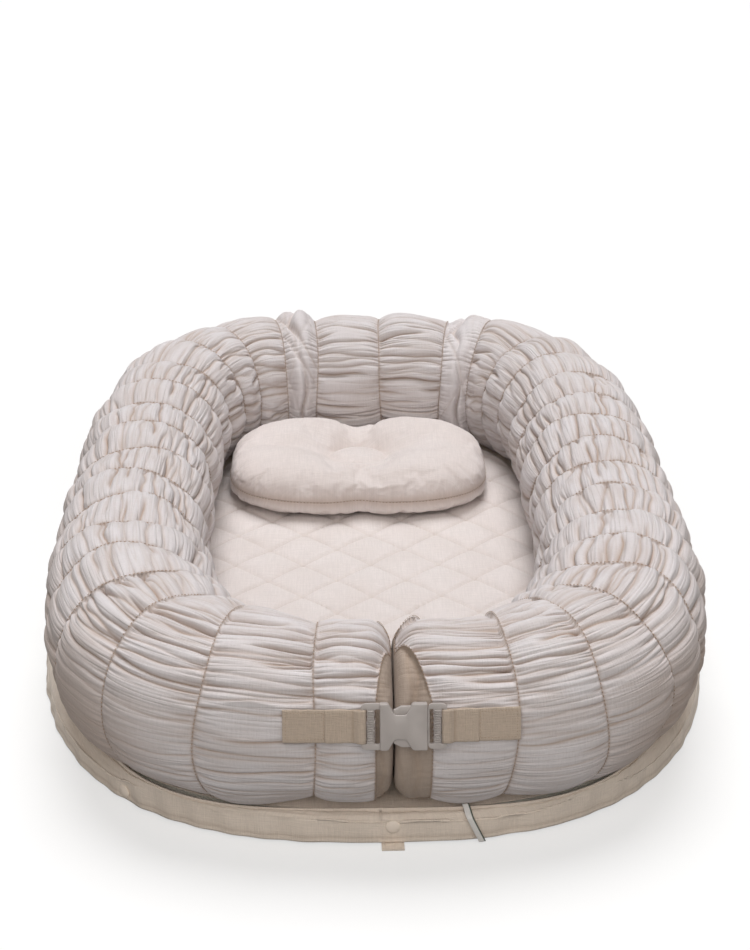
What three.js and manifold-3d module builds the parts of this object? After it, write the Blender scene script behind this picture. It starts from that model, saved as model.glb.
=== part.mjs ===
// Infant lounger: a soft oval bolster on a thin foam base, with a quilted mat, a small pillow
// and a side-release buckle that holds the two ends of the bolster together at the foot.
// Lengths are in millimetres. X runs to the right, Y towards the head end and Z up from the floor.
import * as THREE from 'three';
import { mergeVertices } from 'three/addons/utils/BufferGeometryUtils.js';
import Module from 'manifold-3d';

const wasm = await Module();
wasm.setup();

// Shared clearances
const clearance = 0.3;
const cutOverrun = 5;
const weldDistance = 0.0005;
const arcDivisions = 2400;
const cornerSegments = 4;
const bevelSegments = 2;

// Bolster: a tube that follows a rounded ring, flattened a little where it rests on the base
const ringHalfWidth = 220;
const ringHalfLength = 360;
const ringSquareness = 3.9;
const tubeWidth = 140;
const tubeHeight = 150;
const tubeSag = 5;
const tubeSides = 13;
const coverWall = 2;

// The tube is fuller and stands higher at the two corners of its foot end, where the cloth bunches
const cornerFullness = 24;
const cornerRise = 10;
const cornerTightness = 3;
const cornerUndersideShare = 0.6;

// Sewn channels that draw the cover in
const channelDepth = 9;
const channelRoundness = 0.6;
const channelSteps = 4;
const sideChannels = 12;
const headChannels = 2;
const footLeftShares = [0.19, 0.31, 0.24, 0.26];
const footRightShares = [0.36, 0.34, 0.3];

// Lengths of the cover's panels along the tube; the two side panels share what is left
const footLeftLength = 230;
const footRightLength = 158;
const headLength = 147;
const jointLeftLength = 39;
const jointRightLength = 48;
const jointDepth = 5;

// Where the two ends of the tube meet, and the plain caps that close them
const endsMeetX = 9.5;
const endGap = 1;
const capLeftLength = 16;
const capRightLength = 26;
const capSeamInset = 6;
const capEndInset = 32;
const capShares = [0, 0.35, 0.65, 0.88, 1];
const capLiningShares = [0, 0.6, 1];

// Base: a foam board between two linen panels, with a linen skirt round it. It reaches beyond
// the middle line of the bolster by its own amounts at the sides and at the ends.
const baseReachSide = 87;
const baseReachEnd = 44;
const baseHalfWidth = ringHalfWidth + baseReachSide;
const baseHalfLength = ringHalfLength + baseReachEnd;
const baseSquareness = 2.6;
const baseThickness = 27.7;
const baseColumns = 40;
const panelThickness = 1.2;
const padSetback = 8;

// Skirt: sewn under the bolster, it makes one soft fold and then falls to the floor
const skirtThickness = 1.2;
const skirtSeamOffset = 36;
const skirtFoldHeight = 5.5;
const skirtFoldWidth = 32;
const skirtFoldWave = 1.2;
const skirtFoldWaves = 5;
const skirtShoulderDrop = 4;
const hemHeight = 2.2;
const foldRows = [
  { acrossShare: 0, riseShare: 0 },
  { acrossShare: 0.3, riseShare: 0.85 },
  { acrossShare: 0.58, riseShare: 1 },
  { acrossShare: 0.84, riseShare: 0.5 },
];

// Quilted mat that lies inside the bolster
const matEdgeThickness = 10;
const matCrown = 6;
const matRimShare = 0.28;
const quiltPitch = 66;
const quiltPuff = 2.6;
const matColumns = 44;

// Pillow with four lobes round a small hollow for the head
const pillowHalfLength = 132;
const pillowHalfDepth = 91;
const pillowSquareness = 3;
const pillowX = -12;
const pillowY = 185;
const pillowRise = 36;
const pillowDrop = 14;
const pillowWall = 1.5;
const pillowValley = 7;
const pillowHollowDepth = 15;
const pillowHollowShare = 0.3;
const pillowSegments = 24;
const pillowTopShares = [0.14, 0.3, 0.5, 0.74, 0.92, 1];
const pillowBottomShares = [0.5, 0.86, 1];
const pillowTopRoundness = 2.6;
const pillowBottomRoundness = 4;

// Buckle for webbing one inch wide; its lengths run from the left end of the socket
const fasteningAngle = THREE.MathUtils.degToRad(20);
const buckleLeftX = -16;
const strapWidth = 25.4;
const strapThickness = 1.2;
const windowHalfHeight = 13.3;
const buckleHalfHeight = 17.7;
const ladderThickness = 3.4;
const anchorBarWidth = 2.2;
const strapSlotWidth = 2.6;
const ribbedBarWidth = 5.2;
const ladderWindowWidth = 4.4;
const ladderCornerRadius = 4.5;
const bodyThickness = 9.2;
const bodyLength = 35.6;
const bodyEdgeBevel = 0.7;
const bodyCornerRadius = 1.2;
const notchOuterLength = 18.5;
const notchInnerLength = 8.5;
const notchDepth = 8.5;
const notchFromMouth = 11;
const notchCornerRadius = 1.6;
const socketWall = 2.6;
const cavityHalfHeight = 15.9;
const cavityHeight = 4.8;

// Plug, with a guide tongue and two prongs whose tips show in the notches
const plugHalfHeight = 17.3;
const plugWindowWidth = 3.4;
const plugShoulderWidth = 1.3;
const tongueHalfWidth = 2.6;
const tongueLength = 23;
const tongueTipRadius = 2;
const prongThickness = 4.2;
const prongArmInner = 8.5;
const prongArmWidth = 3;
const prongTipOuter = 15.6;
const prongTipLength = 14.6;
const prongLength = 25.6;
const prongNoseHeight = 3;
const prongNoseLength = 6;
const prongCornerRadius = 1;

// Straps: each is sewn to the bolster, passes round the buckle's bar and is sewn to itself
const patchLength = 32;
const leftPatchFarX = -75;
const rightPatchFarX = 105;
const strapTaper = 6;
const strapStep = 8;
const strapEyeRadius = 1;

// Press studs that hold the skirt to tabs on the base
const studSpacing = 4;
const studHeights = { front: 17, left: 8.5 };
const capRadius = 6;
const capHeight = 2.2;
const capRimHeight = 0.7;
const capShoulderShares = [0.8, 0.66];
const capBrowShares = [0.45, 0.95];
const capPostRadius = 1.5;
const socketRingRadius = 4.6;
const socketRingThickness = 1.6;
const socketRingFloor = 0.4;
const studRadius = 1.9;
const studLength = 1.2;
const studFlangeRadius = 4;
const studFlangeThickness = 0.8;
const runningClearance = 0.35;
const tabWidth = 18;
const tabThickness = 1.2;
const tabRiseAboveStud = 5.5;
const tabToes = { front: 9, left: -0.6 };
const roundSegments = 20;

// Folded woven tape that hangs from under the right foot of the bolster
const tapeX = 64;
const tapeWidth = 4.2;
const tapeThickness = 1;
const tapeSlant = 15;
const tapeOverlap = 3;

const colours = {
  gauze: 0xd8cec3,
  linen: 0xcbbda9,
  mat: 0xe2dacf,
  pillow: 0xdfd6cb,
  foam: 0xf0eee4,
  wadding: 0xf6f5f1,
  buckle: 0xa69f99,
  stud: 0xd9d2cc,
  tape: 0xe9e8e2,
};

// A closed ring in the shape of a superellipse, starting at the middle of its foot end
class RoundedRing extends THREE.Curve {
  constructor(halfWidth, halfLength, squareness) {
    super();
    this.halfWidth = halfWidth;
    this.halfLength = halfLength;
    this.squareness = squareness;
    this.arcLengthDivisions = arcDivisions;
  }

  getPoint(turn, target = new THREE.Vector3()) {
    const angle = 2 * Math.PI * turn - Math.PI / 2;
    const across = Math.abs(Math.cos(angle) / this.halfWidth) ** this.squareness;
    const along = Math.abs(Math.sin(angle) / this.halfLength) ** this.squareness;
    const reach = (across + along) ** (-1 / this.squareness);
    return target.set(reach * Math.cos(angle), reach * Math.sin(angle), 0);
  }
}

const ringPath = new RoundedRing(ringHalfWidth, ringHalfLength, ringSquareness);
const basePath = new RoundedRing(baseHalfWidth, baseHalfLength, baseSquareness);
const ringLength = ringPath.getLength();
const basePerimeter = basePath.getLength();

// Heights that several pieces share
const foamBottom = panelThickness + clearance;
const foamTop = baseThickness - panelThickness - clearance;
const seat = baseThickness + clearance;
const tubeMiddle = seat - tubeSag + tubeHeight / 2;
const matTop = seat + matEdgeThickness + matCrown + quiltPuff;
const pillowSeam = matTop + clearance + pillowDrop;

// Solids and geometries

function solidOf(geometry) {
  const bare = geometry.clone();
  bare.deleteAttribute('normal');
  bare.deleteAttribute('uv');
  const merged = mergeVertices(bare, weldDistance);
  const vertProperties = new Float32Array(merged.attributes.position.array);
  const triVerts = new Uint32Array(merged.index.array);
  return new wasm.Manifold(new wasm.Mesh({ numProp: 3, vertProperties, triVerts }));
}

function geometryOf(solid) {
  const mesh = solid.getMesh();
  const geometry = new THREE.BufferGeometry();
  geometry.setAttribute('position', new THREE.BufferAttribute(mesh.vertProperties, 3));
  geometry.setIndex(new THREE.BufferAttribute(mesh.triVerts, 1));
  return geometry;
}

function join(first, ...others) {
  return geometryOf(others.reduce((sum, next) => sum.add(solidOf(next)), solidOf(first)));
}

function cut(first, ...others) {
  return geometryOf(others.reduce((rest, next) => rest.subtract(solidOf(next)), solidOf(first)));
}

function common(first, second) {
  return geometryOf(solidOf(first).intersect(solidOf(second)));
}

function blockBetween(low, high) {
  const size = new THREE.Vector3().subVectors(high, low);
  const block = new THREE.BoxGeometry(size.x, size.y, size.z);
  return block.translate((low.x + high.x) / 2, (low.y + high.y) / 2, (low.z + high.z) / 2);
}

// Turns the faces of a closed mesh outwards
function facingOut(geometry) {
  const place = geometry.attributes.position;
  const corners = geometry.index.array;
  const a = new THREE.Vector3();
  const b = new THREE.Vector3();
  const c = new THREE.Vector3();
  let volume = 0;
  for (let i = 0; i < corners.length; i += 3) {
    a.fromBufferAttribute(place, corners[i]);
    b.fromBufferAttribute(place, corners[i + 1]);
    c.fromBufferAttribute(place, corners[i + 2]);
    volume += a.dot(b.cross(c));
  }
  if (volume < 0) {
    for (let i = 0; i < corners.length; i += 3) {
      [corners[i + 1], corners[i + 2]] = [corners[i + 2], corners[i + 1]];
    }
  }
  return geometry;
}

// Skins a run of rings. A run that loops comes back to its first ring, as a pipe with a bore does;
// any other run is closed with a fan at each end.
function skin(rings, loops = false) {
  const count = rings[0].length;
  const points = rings.flat();
  const corners = [];
  const joins = loops ? rings.length : rings.length - 1;
  for (let ring = 0; ring < joins; ring++) {
    const here = ring * count;
    const there = ((ring + 1) % rings.length) * count;
    for (let side = 0; side < count; side++) {
      const next = (side + 1) % count;
      corners.push(here + side, here + next, there + next);
      corners.push(here + side, there + next, there + side);
    }
  }
  if (!loops) {
    for (const last of [false, true]) {
      const ring = last ? rings[rings.length - 1] : rings[0];
      const start = last ? (rings.length - 1) * count : 0;
      const middle = ring.reduce((sum, point) => sum.add(point), new THREE.Vector3());
      points.push(middle.divideScalar(count));
      for (let side = 0; side < count; side++) {
        const edge = [start + side, start + ((side + 1) % count)];
        corners.push(points.length - 1, ...(last ? edge : edge.reverse()));
      }
    }
  }
  const geometry = new THREE.BufferGeometry().setFromPoints(points);
  geometry.setIndex(corners);
  return facingOut(geometry);
}

// An outline of straight sides whose corners are rounded, each by its own radius
function roundedOutline(corners) {
  const shape = new THREE.Shape();
  corners.forEach(([x, y, radius], index) => {
    const corner = new THREE.Vector2(x, y);
    const before = corners[(index + corners.length - 1) % corners.length];
    const after = corners[(index + 1) % corners.length];
    const back = new THREE.Vector2(before[0], before[1]).sub(corner);
    const ahead = new THREE.Vector2(after[0], after[1]).sub(corner);
    const reach = Math.min(radius, back.length() / 2, ahead.length() / 2);
    const start = back.setLength(reach).add(corner);
    const end = ahead.setLength(reach).add(corner);
    if (index === 0) shape.moveTo(start.x, start.y);
    else shape.lineTo(start.x, start.y);
    if (reach > 0) shape.quadraticCurveTo(corner.x, corner.y, end.x, end.y);
  });
  shape.closePath();
  return shape;
}

function rectangle(left, right, halfHeight, radius) {
  return roundedOutline([
    [left, -halfHeight, radius],
    [right, -halfHeight, radius],
    [right, halfHeight, radius],
    [left, halfHeight, radius],
  ]);
}

// Extrudes an outline about a middle height
function plate(shape, middle, thickness, bevel = 0) {
  const settings = { depth: thickness - 2 * bevel, curveSegments: cornerSegments, bevelEnabled: bevel > 0 };
  if (bevel > 0) {
    settings.bevelThickness = bevel;
    settings.bevelSize = bevel;
    settings.bevelOffset = -bevel;
    settings.bevelSegments = bevelSegments;
  }
  const geometry = new THREE.ExtrudeGeometry(shape, settings);
  return geometry.translate(0, 0, middle - thickness / 2 + bevel);
}

// Pieces

const lounger = new THREE.Group();

function finish(colour, roughness) {
  return new THREE.MeshStandardMaterial({ color: colour, roughness, metalness: 0 });
}

const finishes = {
  gauze: finish(colours.gauze, 0.95),
  linen: finish(colours.linen, 0.92),
  mat: finish(colours.mat, 0.92),
  pillow: finish(colours.pillow, 0.92),
  foam: finish(colours.foam, 0.9),
  wadding: finish(colours.wadding, 1),
  buckle: finish(colours.buckle, 0.5),
  stud: finish(colours.stud, 0.4),
  tape: finish(colours.tape, 0.85),
};

function place(name, geometry, material, group = lounger) {
  const mesh = new THREE.Mesh(geometry, material.clone());
  mesh.name = name;
  group.add(mesh);
  return mesh;
}

// A point beside a ring path: a share of the way round it, a distance outwards and a height
function beside(path, share, outwards, height) {
  const turn = ((share % 1) + 1) % 1;
  const point = path.getPointAt(turn);
  const tangent = path.getTangentAt(turn);
  return point.add(new THREE.Vector3(tangent.y * outwards, -tangent.x * outwards, height));
}

// Base

const columnPhase = endsMeetX / basePerimeter - 0.5 / baseColumns;

function baseRing(setback, height) {
  const points = [];
  for (let column = 0; column < baseColumns; column++) {
    points.push(beside(basePath, column / baseColumns + columnPhase, -setback, height));
  }
  return points;
}

function baseSlab(setback, bottom, top) {
  return skin([baseRing(setback, bottom), baseRing(setback, top)]);
}

place('base_bottom_panel', baseSlab(padSetback, 0, panelThickness), finishes.linen);
place('base_foam', baseSlab(padSetback, foamBottom, foamTop), finishes.foam);
place('base_top_panel', baseSlab(padSetback, foamTop + clearance, baseThickness), finishes.linen);

// Skirt

// The fold is full where the skirt reaches far out from the bolster, and flat where it doesn't
function skirtRow(acrossShare, rise) {
  const points = [];
  for (let column = 0; column < baseColumns; column++) {
    const share = column / baseColumns + columnPhase;
    const wave = Math.sin(2 * Math.PI * skirtFoldWaves * share);
    const inner = beside(ringPath, share, skirtSeamOffset, seat);
    const outer = beside(basePath, share, 0, seat);
    const fullness = Math.min(1, inner.distanceTo(outer) / skirtFoldWidth);
    const lift = fullness * rise * (1 + (skirtFoldWave / skirtFoldHeight) * wave);
    points.push(inner.lerp(outer, acrossShare).setZ(seat + lift));
  }
  return points;
}

function raised(ring, height) {
  return ring.map((point) => point.clone().setZ(point.z + height));
}

function skirtGeometry() {
  const lining = foldRows.map((row) => skirtRow(row.acrossShare, row.riseShare * skirtFoldHeight));
  const face = lining.map((ring) => raised(ring, skirtThickness));
  const shoulder = seat - skirtShoulderDrop;
  const rows = [
    ...face,
    baseRing(0, shoulder),
    baseRing(0, hemHeight),
    baseRing(skirtThickness, hemHeight),
    baseRing(skirtThickness, shoulder),
    ...lining.reverse(),
  ];
  return skin(rows, true);
}

// Places of the press studs: the middle of a flat stretch of the skirt
function studFrame(columnsAway, height) {
  const share = endsMeetX / basePerimeter - columnsAway / baseColumns;
  const half = 0.5 / baseColumns;
  const from = beside(basePath, share - half, 0, height);
  const to = beside(basePath, share + half, 0, height);
  const group = new THREE.Group();
  group.position.copy(from).add(to).divideScalar(2);
  const sideways = new THREE.Vector3().subVectors(to, from).normalize();
  const up = new THREE.Vector3(0, 0, 1);
  const outwards = new THREE.Vector3().crossVectors(sideways, up);
  group.quaternion.setFromRotationMatrix(new THREE.Matrix4().makeBasis(sideways, up, outwards));
  group.updateMatrixWorld(true);
  return group;
}

const studFrames = {
  front: studFrame(0, studHeights.front),
  left: studFrame(studSpacing, studHeights.left),
};

function roundPin(radius, from, to) {
  const pin = new THREE.CylinderGeometry(radius, radius, to - from, roundSegments);
  return pin.rotateX(Math.PI / 2).translate(0, 0, (from + to) / 2);
}

function lathed(points) {
  const outline = points.map(([radius, height]) => new THREE.Vector2(radius, height));
  return new THREE.LatheGeometry(outline, roundSegments).rotateX(Math.PI / 2);
}

const postHole = roundPin(capPostRadius + runningClearance, -skirtThickness - cutOverrun, cutOverrun);
const skirtHoles = Object.values(studFrames).map((frame) => postHole.clone().applyMatrix4(frame.matrixWorld));
place('skirt', cut(skirtGeometry(), ...skirtHoles), finishes.linen);

// Press studs. Their own Z points out of the skirt, whose face is at zero.
const ringFace = -skirtThickness - clearance;
const ringBack = ringFace - socketRingThickness;
const tabFace = ringBack - clearance;
const tabBack = tabFace - tabThickness;

function studCap() {
  const bottom = clearance;
  const dome = lathed([
    [0, bottom],
    [capRadius, bottom],
    [capRadius, bottom + capRimHeight],
    [capRadius * capShoulderShares[0], bottom + capHeight * capShoulderShares[1]],
    [capRadius * capBrowShares[0], bottom + capHeight * capBrowShares[1]],
    [0, bottom + capHeight],
  ]);
  return join(dome, roundPin(capPostRadius, ringFace + clearance, bottom + capRimHeight));
}

function studRing() {
  const ring = roundPin(socketRingRadius, ringBack, ringFace);
  const bore = roundPin(studRadius + runningClearance, ringBack - cutOverrun, ringFace - socketRingFloor);
  return cut(ring, bore);
}

function stud() {
  const flangeFace = tabBack - clearance;
  const flange = roundPin(studFlangeRadius, flangeFace - studFlangeThickness, flangeFace);
  const pin = roundPin(studRadius, flangeFace - studFlangeThickness / 2, ringBack + studLength - clearance);
  return join(flange, pin);
}

function studTab(height, toe) {
  const toeBottom = clearance - height;
  const toeTop = toeBottom + tabThickness;
  const outline = roundedOutline([
    [tabBack, tabRiseAboveStud, 0],
    [tabBack, toeBottom, tabThickness],
    [toe, toeBottom, 0],
    [toe, toeTop, 0],
    [tabFace, toeTop, 0],
    [tabFace, tabRiseAboveStud, 0],
  ]);
  const tab = plate(outline, 0, tabWidth).rotateY(-Math.PI / 2);
  const hole = roundPin(studRadius + runningClearance, tabBack - cutOverrun, tabFace + clearance / 2);
  return cut(tab, hole);
}

for (const [side, frame] of Object.entries(studFrames)) {
  place(`stud_cap_${side}`, studCap(), finishes.stud, frame);
  place(`stud_ring_${side}`, studRing(), finishes.stud, frame);
  place(`stud_${side}`, stud(), finishes.stud, frame);
  place(`stud_tab_${side}`, studTab(studHeights[side], tabToes[side]), finishes.linen, frame);
  lounger.add(frame);
}

// Bolster. Its stations are measured along the tube from the right end.

const tubeLength = ringLength - endGap;
const plainLength = footLeftLength + footRightLength + headLength + jointLeftLength
  + jointRightLength + capLeftLength + capRightLength;
const sideLength = (tubeLength - plainLength) / 2;
const boreInset = channelDepth + coverWall;

// How near a place on the ring is to a corner of its foot end: 1 at the corner and 0 away from it
function cornerNearness(share) {
  const point = beside(ringPath, share, 0, 0);
  if (point.y >= 0) return 0;
  const across = Math.abs(point.x) / ringHalfWidth;
  const along = -point.y / ringHalfLength;
  return ((2 * across * along) / (across * across + along * along)) ** cornerTightness;
}

function tubeRing(station, inset, floor) {
  const share = (endsMeetX + endGap / 2 + station) / ringLength;
  const corner = cornerNearness(share);
  const points = [];
  for (let side = 0; side < tubeSides; side++) {
    const angle = fasteningAngle + (2 * Math.PI * side) / tubeSides;
    const inwards = Math.max(0, -Math.cos(angle));
    const upwards = Math.max(0, Math.sin(angle));
    const clearOfMat = THREE.MathUtils.smoothstep(Math.sin(angle), -cornerUndersideShare, 0);
    const across = (tubeWidth / 2 - inset) * Math.cos(angle) - cornerFullness * corner * inwards * clearOfMat;
    const rise = cornerRise * corner * upwards;
    const height = tubeMiddle + (tubeHeight / 2 - inset) * Math.sin(angle) + rise;
    points.push(beside(ringPath, share, across, Math.max(height, floor)));
  }
  return points;
}

function evenShares(count) {
  return new Array(count).fill(1 / count);
}

// Stations of the seams of a panel, from shares of its length
function seamStations(from, length, shares) {
  const seams = [from];
  for (const share of shares) seams.push(seams[seams.length - 1] + share * length);
  return seams;
}

// A panel of the cover: scalloped outside, with a plain bore for the fill
function coverPanel(seams, depth) {
  const seamInset = channelDepth;
  const outside = [];
  const bore = [];
  seams.forEach((seam, index) => {
    const last = index === seams.length - 1;
    const trim = index === 0 ? clearance / 2 : last ? -clearance / 2 : 0;
    outside.push(tubeRing(seam + trim, seamInset, seat));
    bore.push(tubeRing(seam + trim, boreInset, seat));
    if (last) return;
    const length = seams[index + 1] - seam;
    for (let step = 1; step < channelSteps; step++) {
      const share = step / channelSteps;
      const puff = Math.sin(Math.PI * share) ** channelRoundness;
      outside.push(tubeRing(seam + share * length, seamInset - depth * puff, seat));
    }
    bore.push(tubeRing(seam + length / 2, boreInset, seat));
  });
  return skin([...outside, ...bore.reverse()], true);
}

function capInset(share) {
  return capSeamInset + (capEndInset - capSeamInset) * (1 - Math.sqrt(1 - share * share));
}

// Rings of an end cap from its seam to its closed end; layer is the depth under the cap's face
function capRings(seam, end, shares, layer) {
  const reach = Math.abs(end - seam) - layer;
  const way = Math.sign(end - seam);
  return shares.map((share) => {
    const inset = layer > 0 ? Math.max(capInset(share) + layer, boreInset + layer - coverWall) : capInset(share);
    return tubeRing(seam + way * share * reach, inset, seat);
  });
}

function endCap(seam, end) {
  const start = seam + (Math.sign(end - seam) * clearance) / 2;
  const face = capRings(start, end, capShares, 0);
  const lining = capRings(start, end, capLiningShares, coverWall);
  return skin([...lining.reverse(), ...face]);
}

const stations = [];
let reached = capRightLength;
for (const [name, length, shares, depth] of [
  ['cover_foot_right', footRightLength, footRightShares, channelDepth],
  ['cover_side_right', sideLength, evenShares(sideChannels), channelDepth],
  ['cover_joint_right', jointRightLength, evenShares(1), jointDepth],
  ['cover_head', headLength, evenShares(headChannels), channelDepth],
  ['cover_joint_left', jointLeftLength, evenShares(1), jointDepth],
  ['cover_side_left', sideLength, evenShares(sideChannels), channelDepth],
  ['cover_foot_left', footLeftLength, footLeftShares.toReversed(), channelDepth],
]) {
  const seams = seamStations(reached, length, shares);
  place(name, coverPanel(seams, depth), finishes.gauze);
  stations.push(...seams.slice(reached === capRightLength ? 0 : 1));
  reached += length;
}
place('end_cap_right', endCap(capRightLength, 0), finishes.gauze);
place('end_cap_left', endCap(tubeLength - capLeftLength, tubeLength), finishes.gauze);

function bolsterFill() {
  const layer = coverWall + clearance;
  const core = [];
  stations.forEach((station, index) => {
    core.push(tubeRing(station, boreInset + clearance, seat + layer));
    const next = stations[index + 1];
    if (next) core.push(tubeRing((station + next) / 2, boreInset + clearance, seat + layer));
  });
  const endShares = capLiningShares.slice(1);
  const right = capRings(capRightLength, 0, endShares, layer).reverse();
  const left = capRings(tubeLength - capLeftLength, tubeLength, endShares, layer);
  // From left to right, so that the faces are split along the same diagonals as the covers' bores
  return skin([...right, ...core, ...left].reverse());
}
place('bolster_fill', bolsterFill(), finishes.wadding);

// Quilted mat: a slab with a diamond quilt, cut to the space inside the bolster

function tubeReach(height) {
  const drop = (tubeMiddle - height) / (tubeHeight / 2);
  return (tubeWidth / 2) * Math.sqrt(1 - drop * drop);
}

const matEdgeTop = seat + matEdgeThickness + quiltPuff;
const matOffset = tubeReach(matEdgeTop) + clearance;

function matHeight(x, y, raisedPoint) {
  const across = Math.abs(x) / (ringHalfWidth - matOffset);
  const along = Math.abs(y) / (ringHalfLength - matOffset);
  const out = (across ** ringSquareness + along ** ringSquareness) ** (1 / ringSquareness);
  const inwards = THREE.MathUtils.clamp((1 - out) / matRimShare, 0, 1);
  const crown = matCrown * Math.sin((Math.PI / 2) * inwards);
  return seat + matEdgeThickness + crown + (raisedPoint ? quiltPuff : 0);
}

function quiltedMat() {
  const step = quiltPitch / 2;
  const columns = Math.ceil(ringHalfWidth / step);
  const rows = Math.ceil(ringHalfLength / step);
  const points = [];
  const corners = [];
  const width = 2 * columns + 1;
  for (let row = -rows; row <= rows; row++) {
    for (let column = -columns; column <= columns; column++) {
      const x = column * step;
      const y = row * step;
      points.push(new THREE.Vector3(x, y, matHeight(x, y, (row + column) % 2 !== 0)));
    }
  }
  const top = points.length;
  for (const point of points.slice()) points.push(point.clone().setZ(seat));
  const edge = [];
  for (let row = 0; row < 2 * rows; row++) {
    for (let column = 0; column < 2 * columns; column++) {
      const a = row * width + column;
      const b = a + 1;
      const c = a + width;
      const d = c + 1;
      const seamFromA = (row + column - rows - columns) % 2 === 0;
      const faces = seamFromA ? [a, b, d, a, d, c] : [a, b, c, b, d, c];
      corners.push(...faces, ...faces.map((corner) => corner + top).reverse());
    }
  }
  for (let column = 0; column < 2 * columns; column++) edge.push(column);
  for (let row = 0; row < 2 * rows; row++) edge.push(row * width + width - 1);
  for (let column = 2 * columns; column > 0; column--) edge.push(2 * rows * width + column);
  for (let row = 2 * rows; row > 0; row--) edge.push(row * width);
  edge.forEach((corner, index) => {
    const next = edge[(index + 1) % edge.length];
    corners.push(corner + top, next + top, next, corner + top, next, corner);
  });
  const slab = new THREE.BufferGeometry().setFromPoints(points);
  slab.setIndex(corners);
  const outline = [-cutOverrun, matTop + cutOverrun].map((height) => {
    const ring = [];
    for (let column = 0; column < matColumns; column++) {
      ring.push(beside(ringPath, (column + 0.5) / matColumns, -matOffset, height));
    }
    return ring;
  });
  return common(facingOut(slab), skin(outline));
}
place('quilted_mat', quiltedMat(), finishes.mat);

// Pillow

function pillowPoint(share, angle, top, layer) {
  const across = (Math.abs(Math.cos(angle)) / pillowHalfLength) ** pillowSquareness;
  const along = (Math.abs(Math.sin(angle)) / pillowHalfDepth) ** pillowSquareness;
  const reach = (across + along) ** (-1 / pillowSquareness) - layer;
  const x = pillowX + share * reach * Math.cos(angle);
  const y = pillowY + share * reach * Math.sin(angle);
  const roundness = top ? pillowTopRoundness : pillowBottomRoundness;
  const bulge = Math.sqrt(1 - share ** roundness);
  if (!top) return new THREE.Vector3(x, y, pillowSeam - (pillowDrop - layer) * bulge);
  const valley = pillowValley * Math.cos(2 * angle) ** 2 * Math.sin(Math.PI * share);
  const hollow = pillowHollowDepth * Math.max(0, 1 - (share / pillowHollowShare) ** 2);
  const depth = valley * (1 - hollow / pillowHollowDepth) + hollow;
  const height = Math.max((pillowRise - layer) * bulge - depth, 0);
  return new THREE.Vector3(x, y, pillowSeam + height);
}

function pillowRing(share, top, layer, lift = 0) {
  const points = [];
  for (let segment = 0; segment < pillowSegments; segment++) {
    const angle = (2 * Math.PI * segment) / pillowSegments;
    const point = pillowPoint(share, angle, top, layer);
    points.push(point.setZ(point.z + lift));
  }
  return points;
}

function pillowCover(top) {
  const shares = top ? pillowTopShares : pillowBottomShares;
  const lift = top ? clearance / 2 : -clearance / 2;
  const face = shares.map((share) => pillowRing(share, top, 0, lift));
  const lining = shares.map((share) => pillowRing(share, top, pillowWall, lift));
  return skin([...lining, ...face.reverse()]);
}

function pillowFill() {
  const layer = pillowWall + 2 * clearance;
  const upper = pillowTopShares.map((share) => pillowRing(share, true, layer));
  const lower = pillowBottomShares.slice(0, -1).map((share) => pillowRing(share, false, layer));
  return skin([...upper, ...lower.reverse()]);
}

place('pillow_cover_top', pillowCover(true), finishes.pillow);
place('pillow_cover_bottom', pillowCover(false), finishes.pillow);
place('pillow_fill', pillowFill(), finishes.wadding);

// Fastening. In its group X still runs to the right, Y runs up the bolster and Z points out of it;
// zero is the crest of the tube at the middle of the foot end.

const crestAcross = (tubeWidth / 2) * Math.cos(fasteningAngle);
const crestUp = (tubeHeight / 2) * Math.sin(fasteningAngle);
const faceAngle = Math.atan2(crestUp / (tubeHeight / 2) ** 2, crestAcross / (tubeWidth / 2) ** 2);
const fastening = new THREE.Group();
fastening.position.set(0, -ringHalfLength - crestAcross, tubeMiddle + crestUp);
fastening.rotation.x = Math.PI / 2 - faceAngle;
lounger.add(fastening);

// Height of the tube's crest in the fastening group, which falls away towards the corners
function crestHeight(x) {
  const share = Math.min(Math.abs(x) / ringHalfWidth, 1);
  const recess = ringHalfLength * (1 - (1 - share ** ringSquareness) ** (1 / ringSquareness));
  return -recess * Math.cos(faceAngle);
}

const frameMiddle = clearance + strapThickness + clearance + ladderThickness / 2;
const ladderLength = anchorBarWidth + strapSlotWidth + ribbedBarWidth + ladderWindowWidth;
const socketLength = ladderLength + bodyLength;

function socketBody() {
  const notchEnd = socketLength - notchFromMouth;
  const notchStart = notchEnd - notchOuterLength;
  const slope = (notchOuterLength - notchInnerLength) / 2;
  const top = buckleHalfHeight;
  const floor = buckleHalfHeight - notchDepth;
  const upper = [
    [socketLength, top, bodyCornerRadius],
    [notchEnd, top, notchCornerRadius],
    [notchEnd - slope, floor, notchCornerRadius],
    [notchStart + slope, floor, notchCornerRadius],
    [notchStart, top, notchCornerRadius],
    [ladderLength, top, bodyCornerRadius],
  ];
  const lower = upper.map(([x, y, radius]) => [x, -y, radius]).reverse();
  const body = plate(roundedOutline([...upper, ...lower]), frameMiddle, bodyThickness, bodyEdgeBevel);
  const cavity = blockBetween(
    new THREE.Vector3(ladderLength + socketWall, -cavityHalfHeight, frameMiddle - cavityHeight / 2),
    new THREE.Vector3(socketLength + cutOverrun, cavityHalfHeight, frameMiddle + cavityHeight / 2),
  );
  return { body, cavity };
}

// A flat frame with a slot for the strap, a ribbed bar and a window
function ladder(left, right, halfHeight, windows) {
  const shape = rectangle(left, right, halfHeight, ladderCornerRadius);
  const cutters = windows.map(([from, to]) => plate(
    rectangle(from, to, windowHalfHeight, strapEyeRadius),
    frameMiddle,
    ladderThickness + cutOverrun,
  ));
  return cut(plate(shape, frameMiddle, ladderThickness), ...cutters);
}

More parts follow.
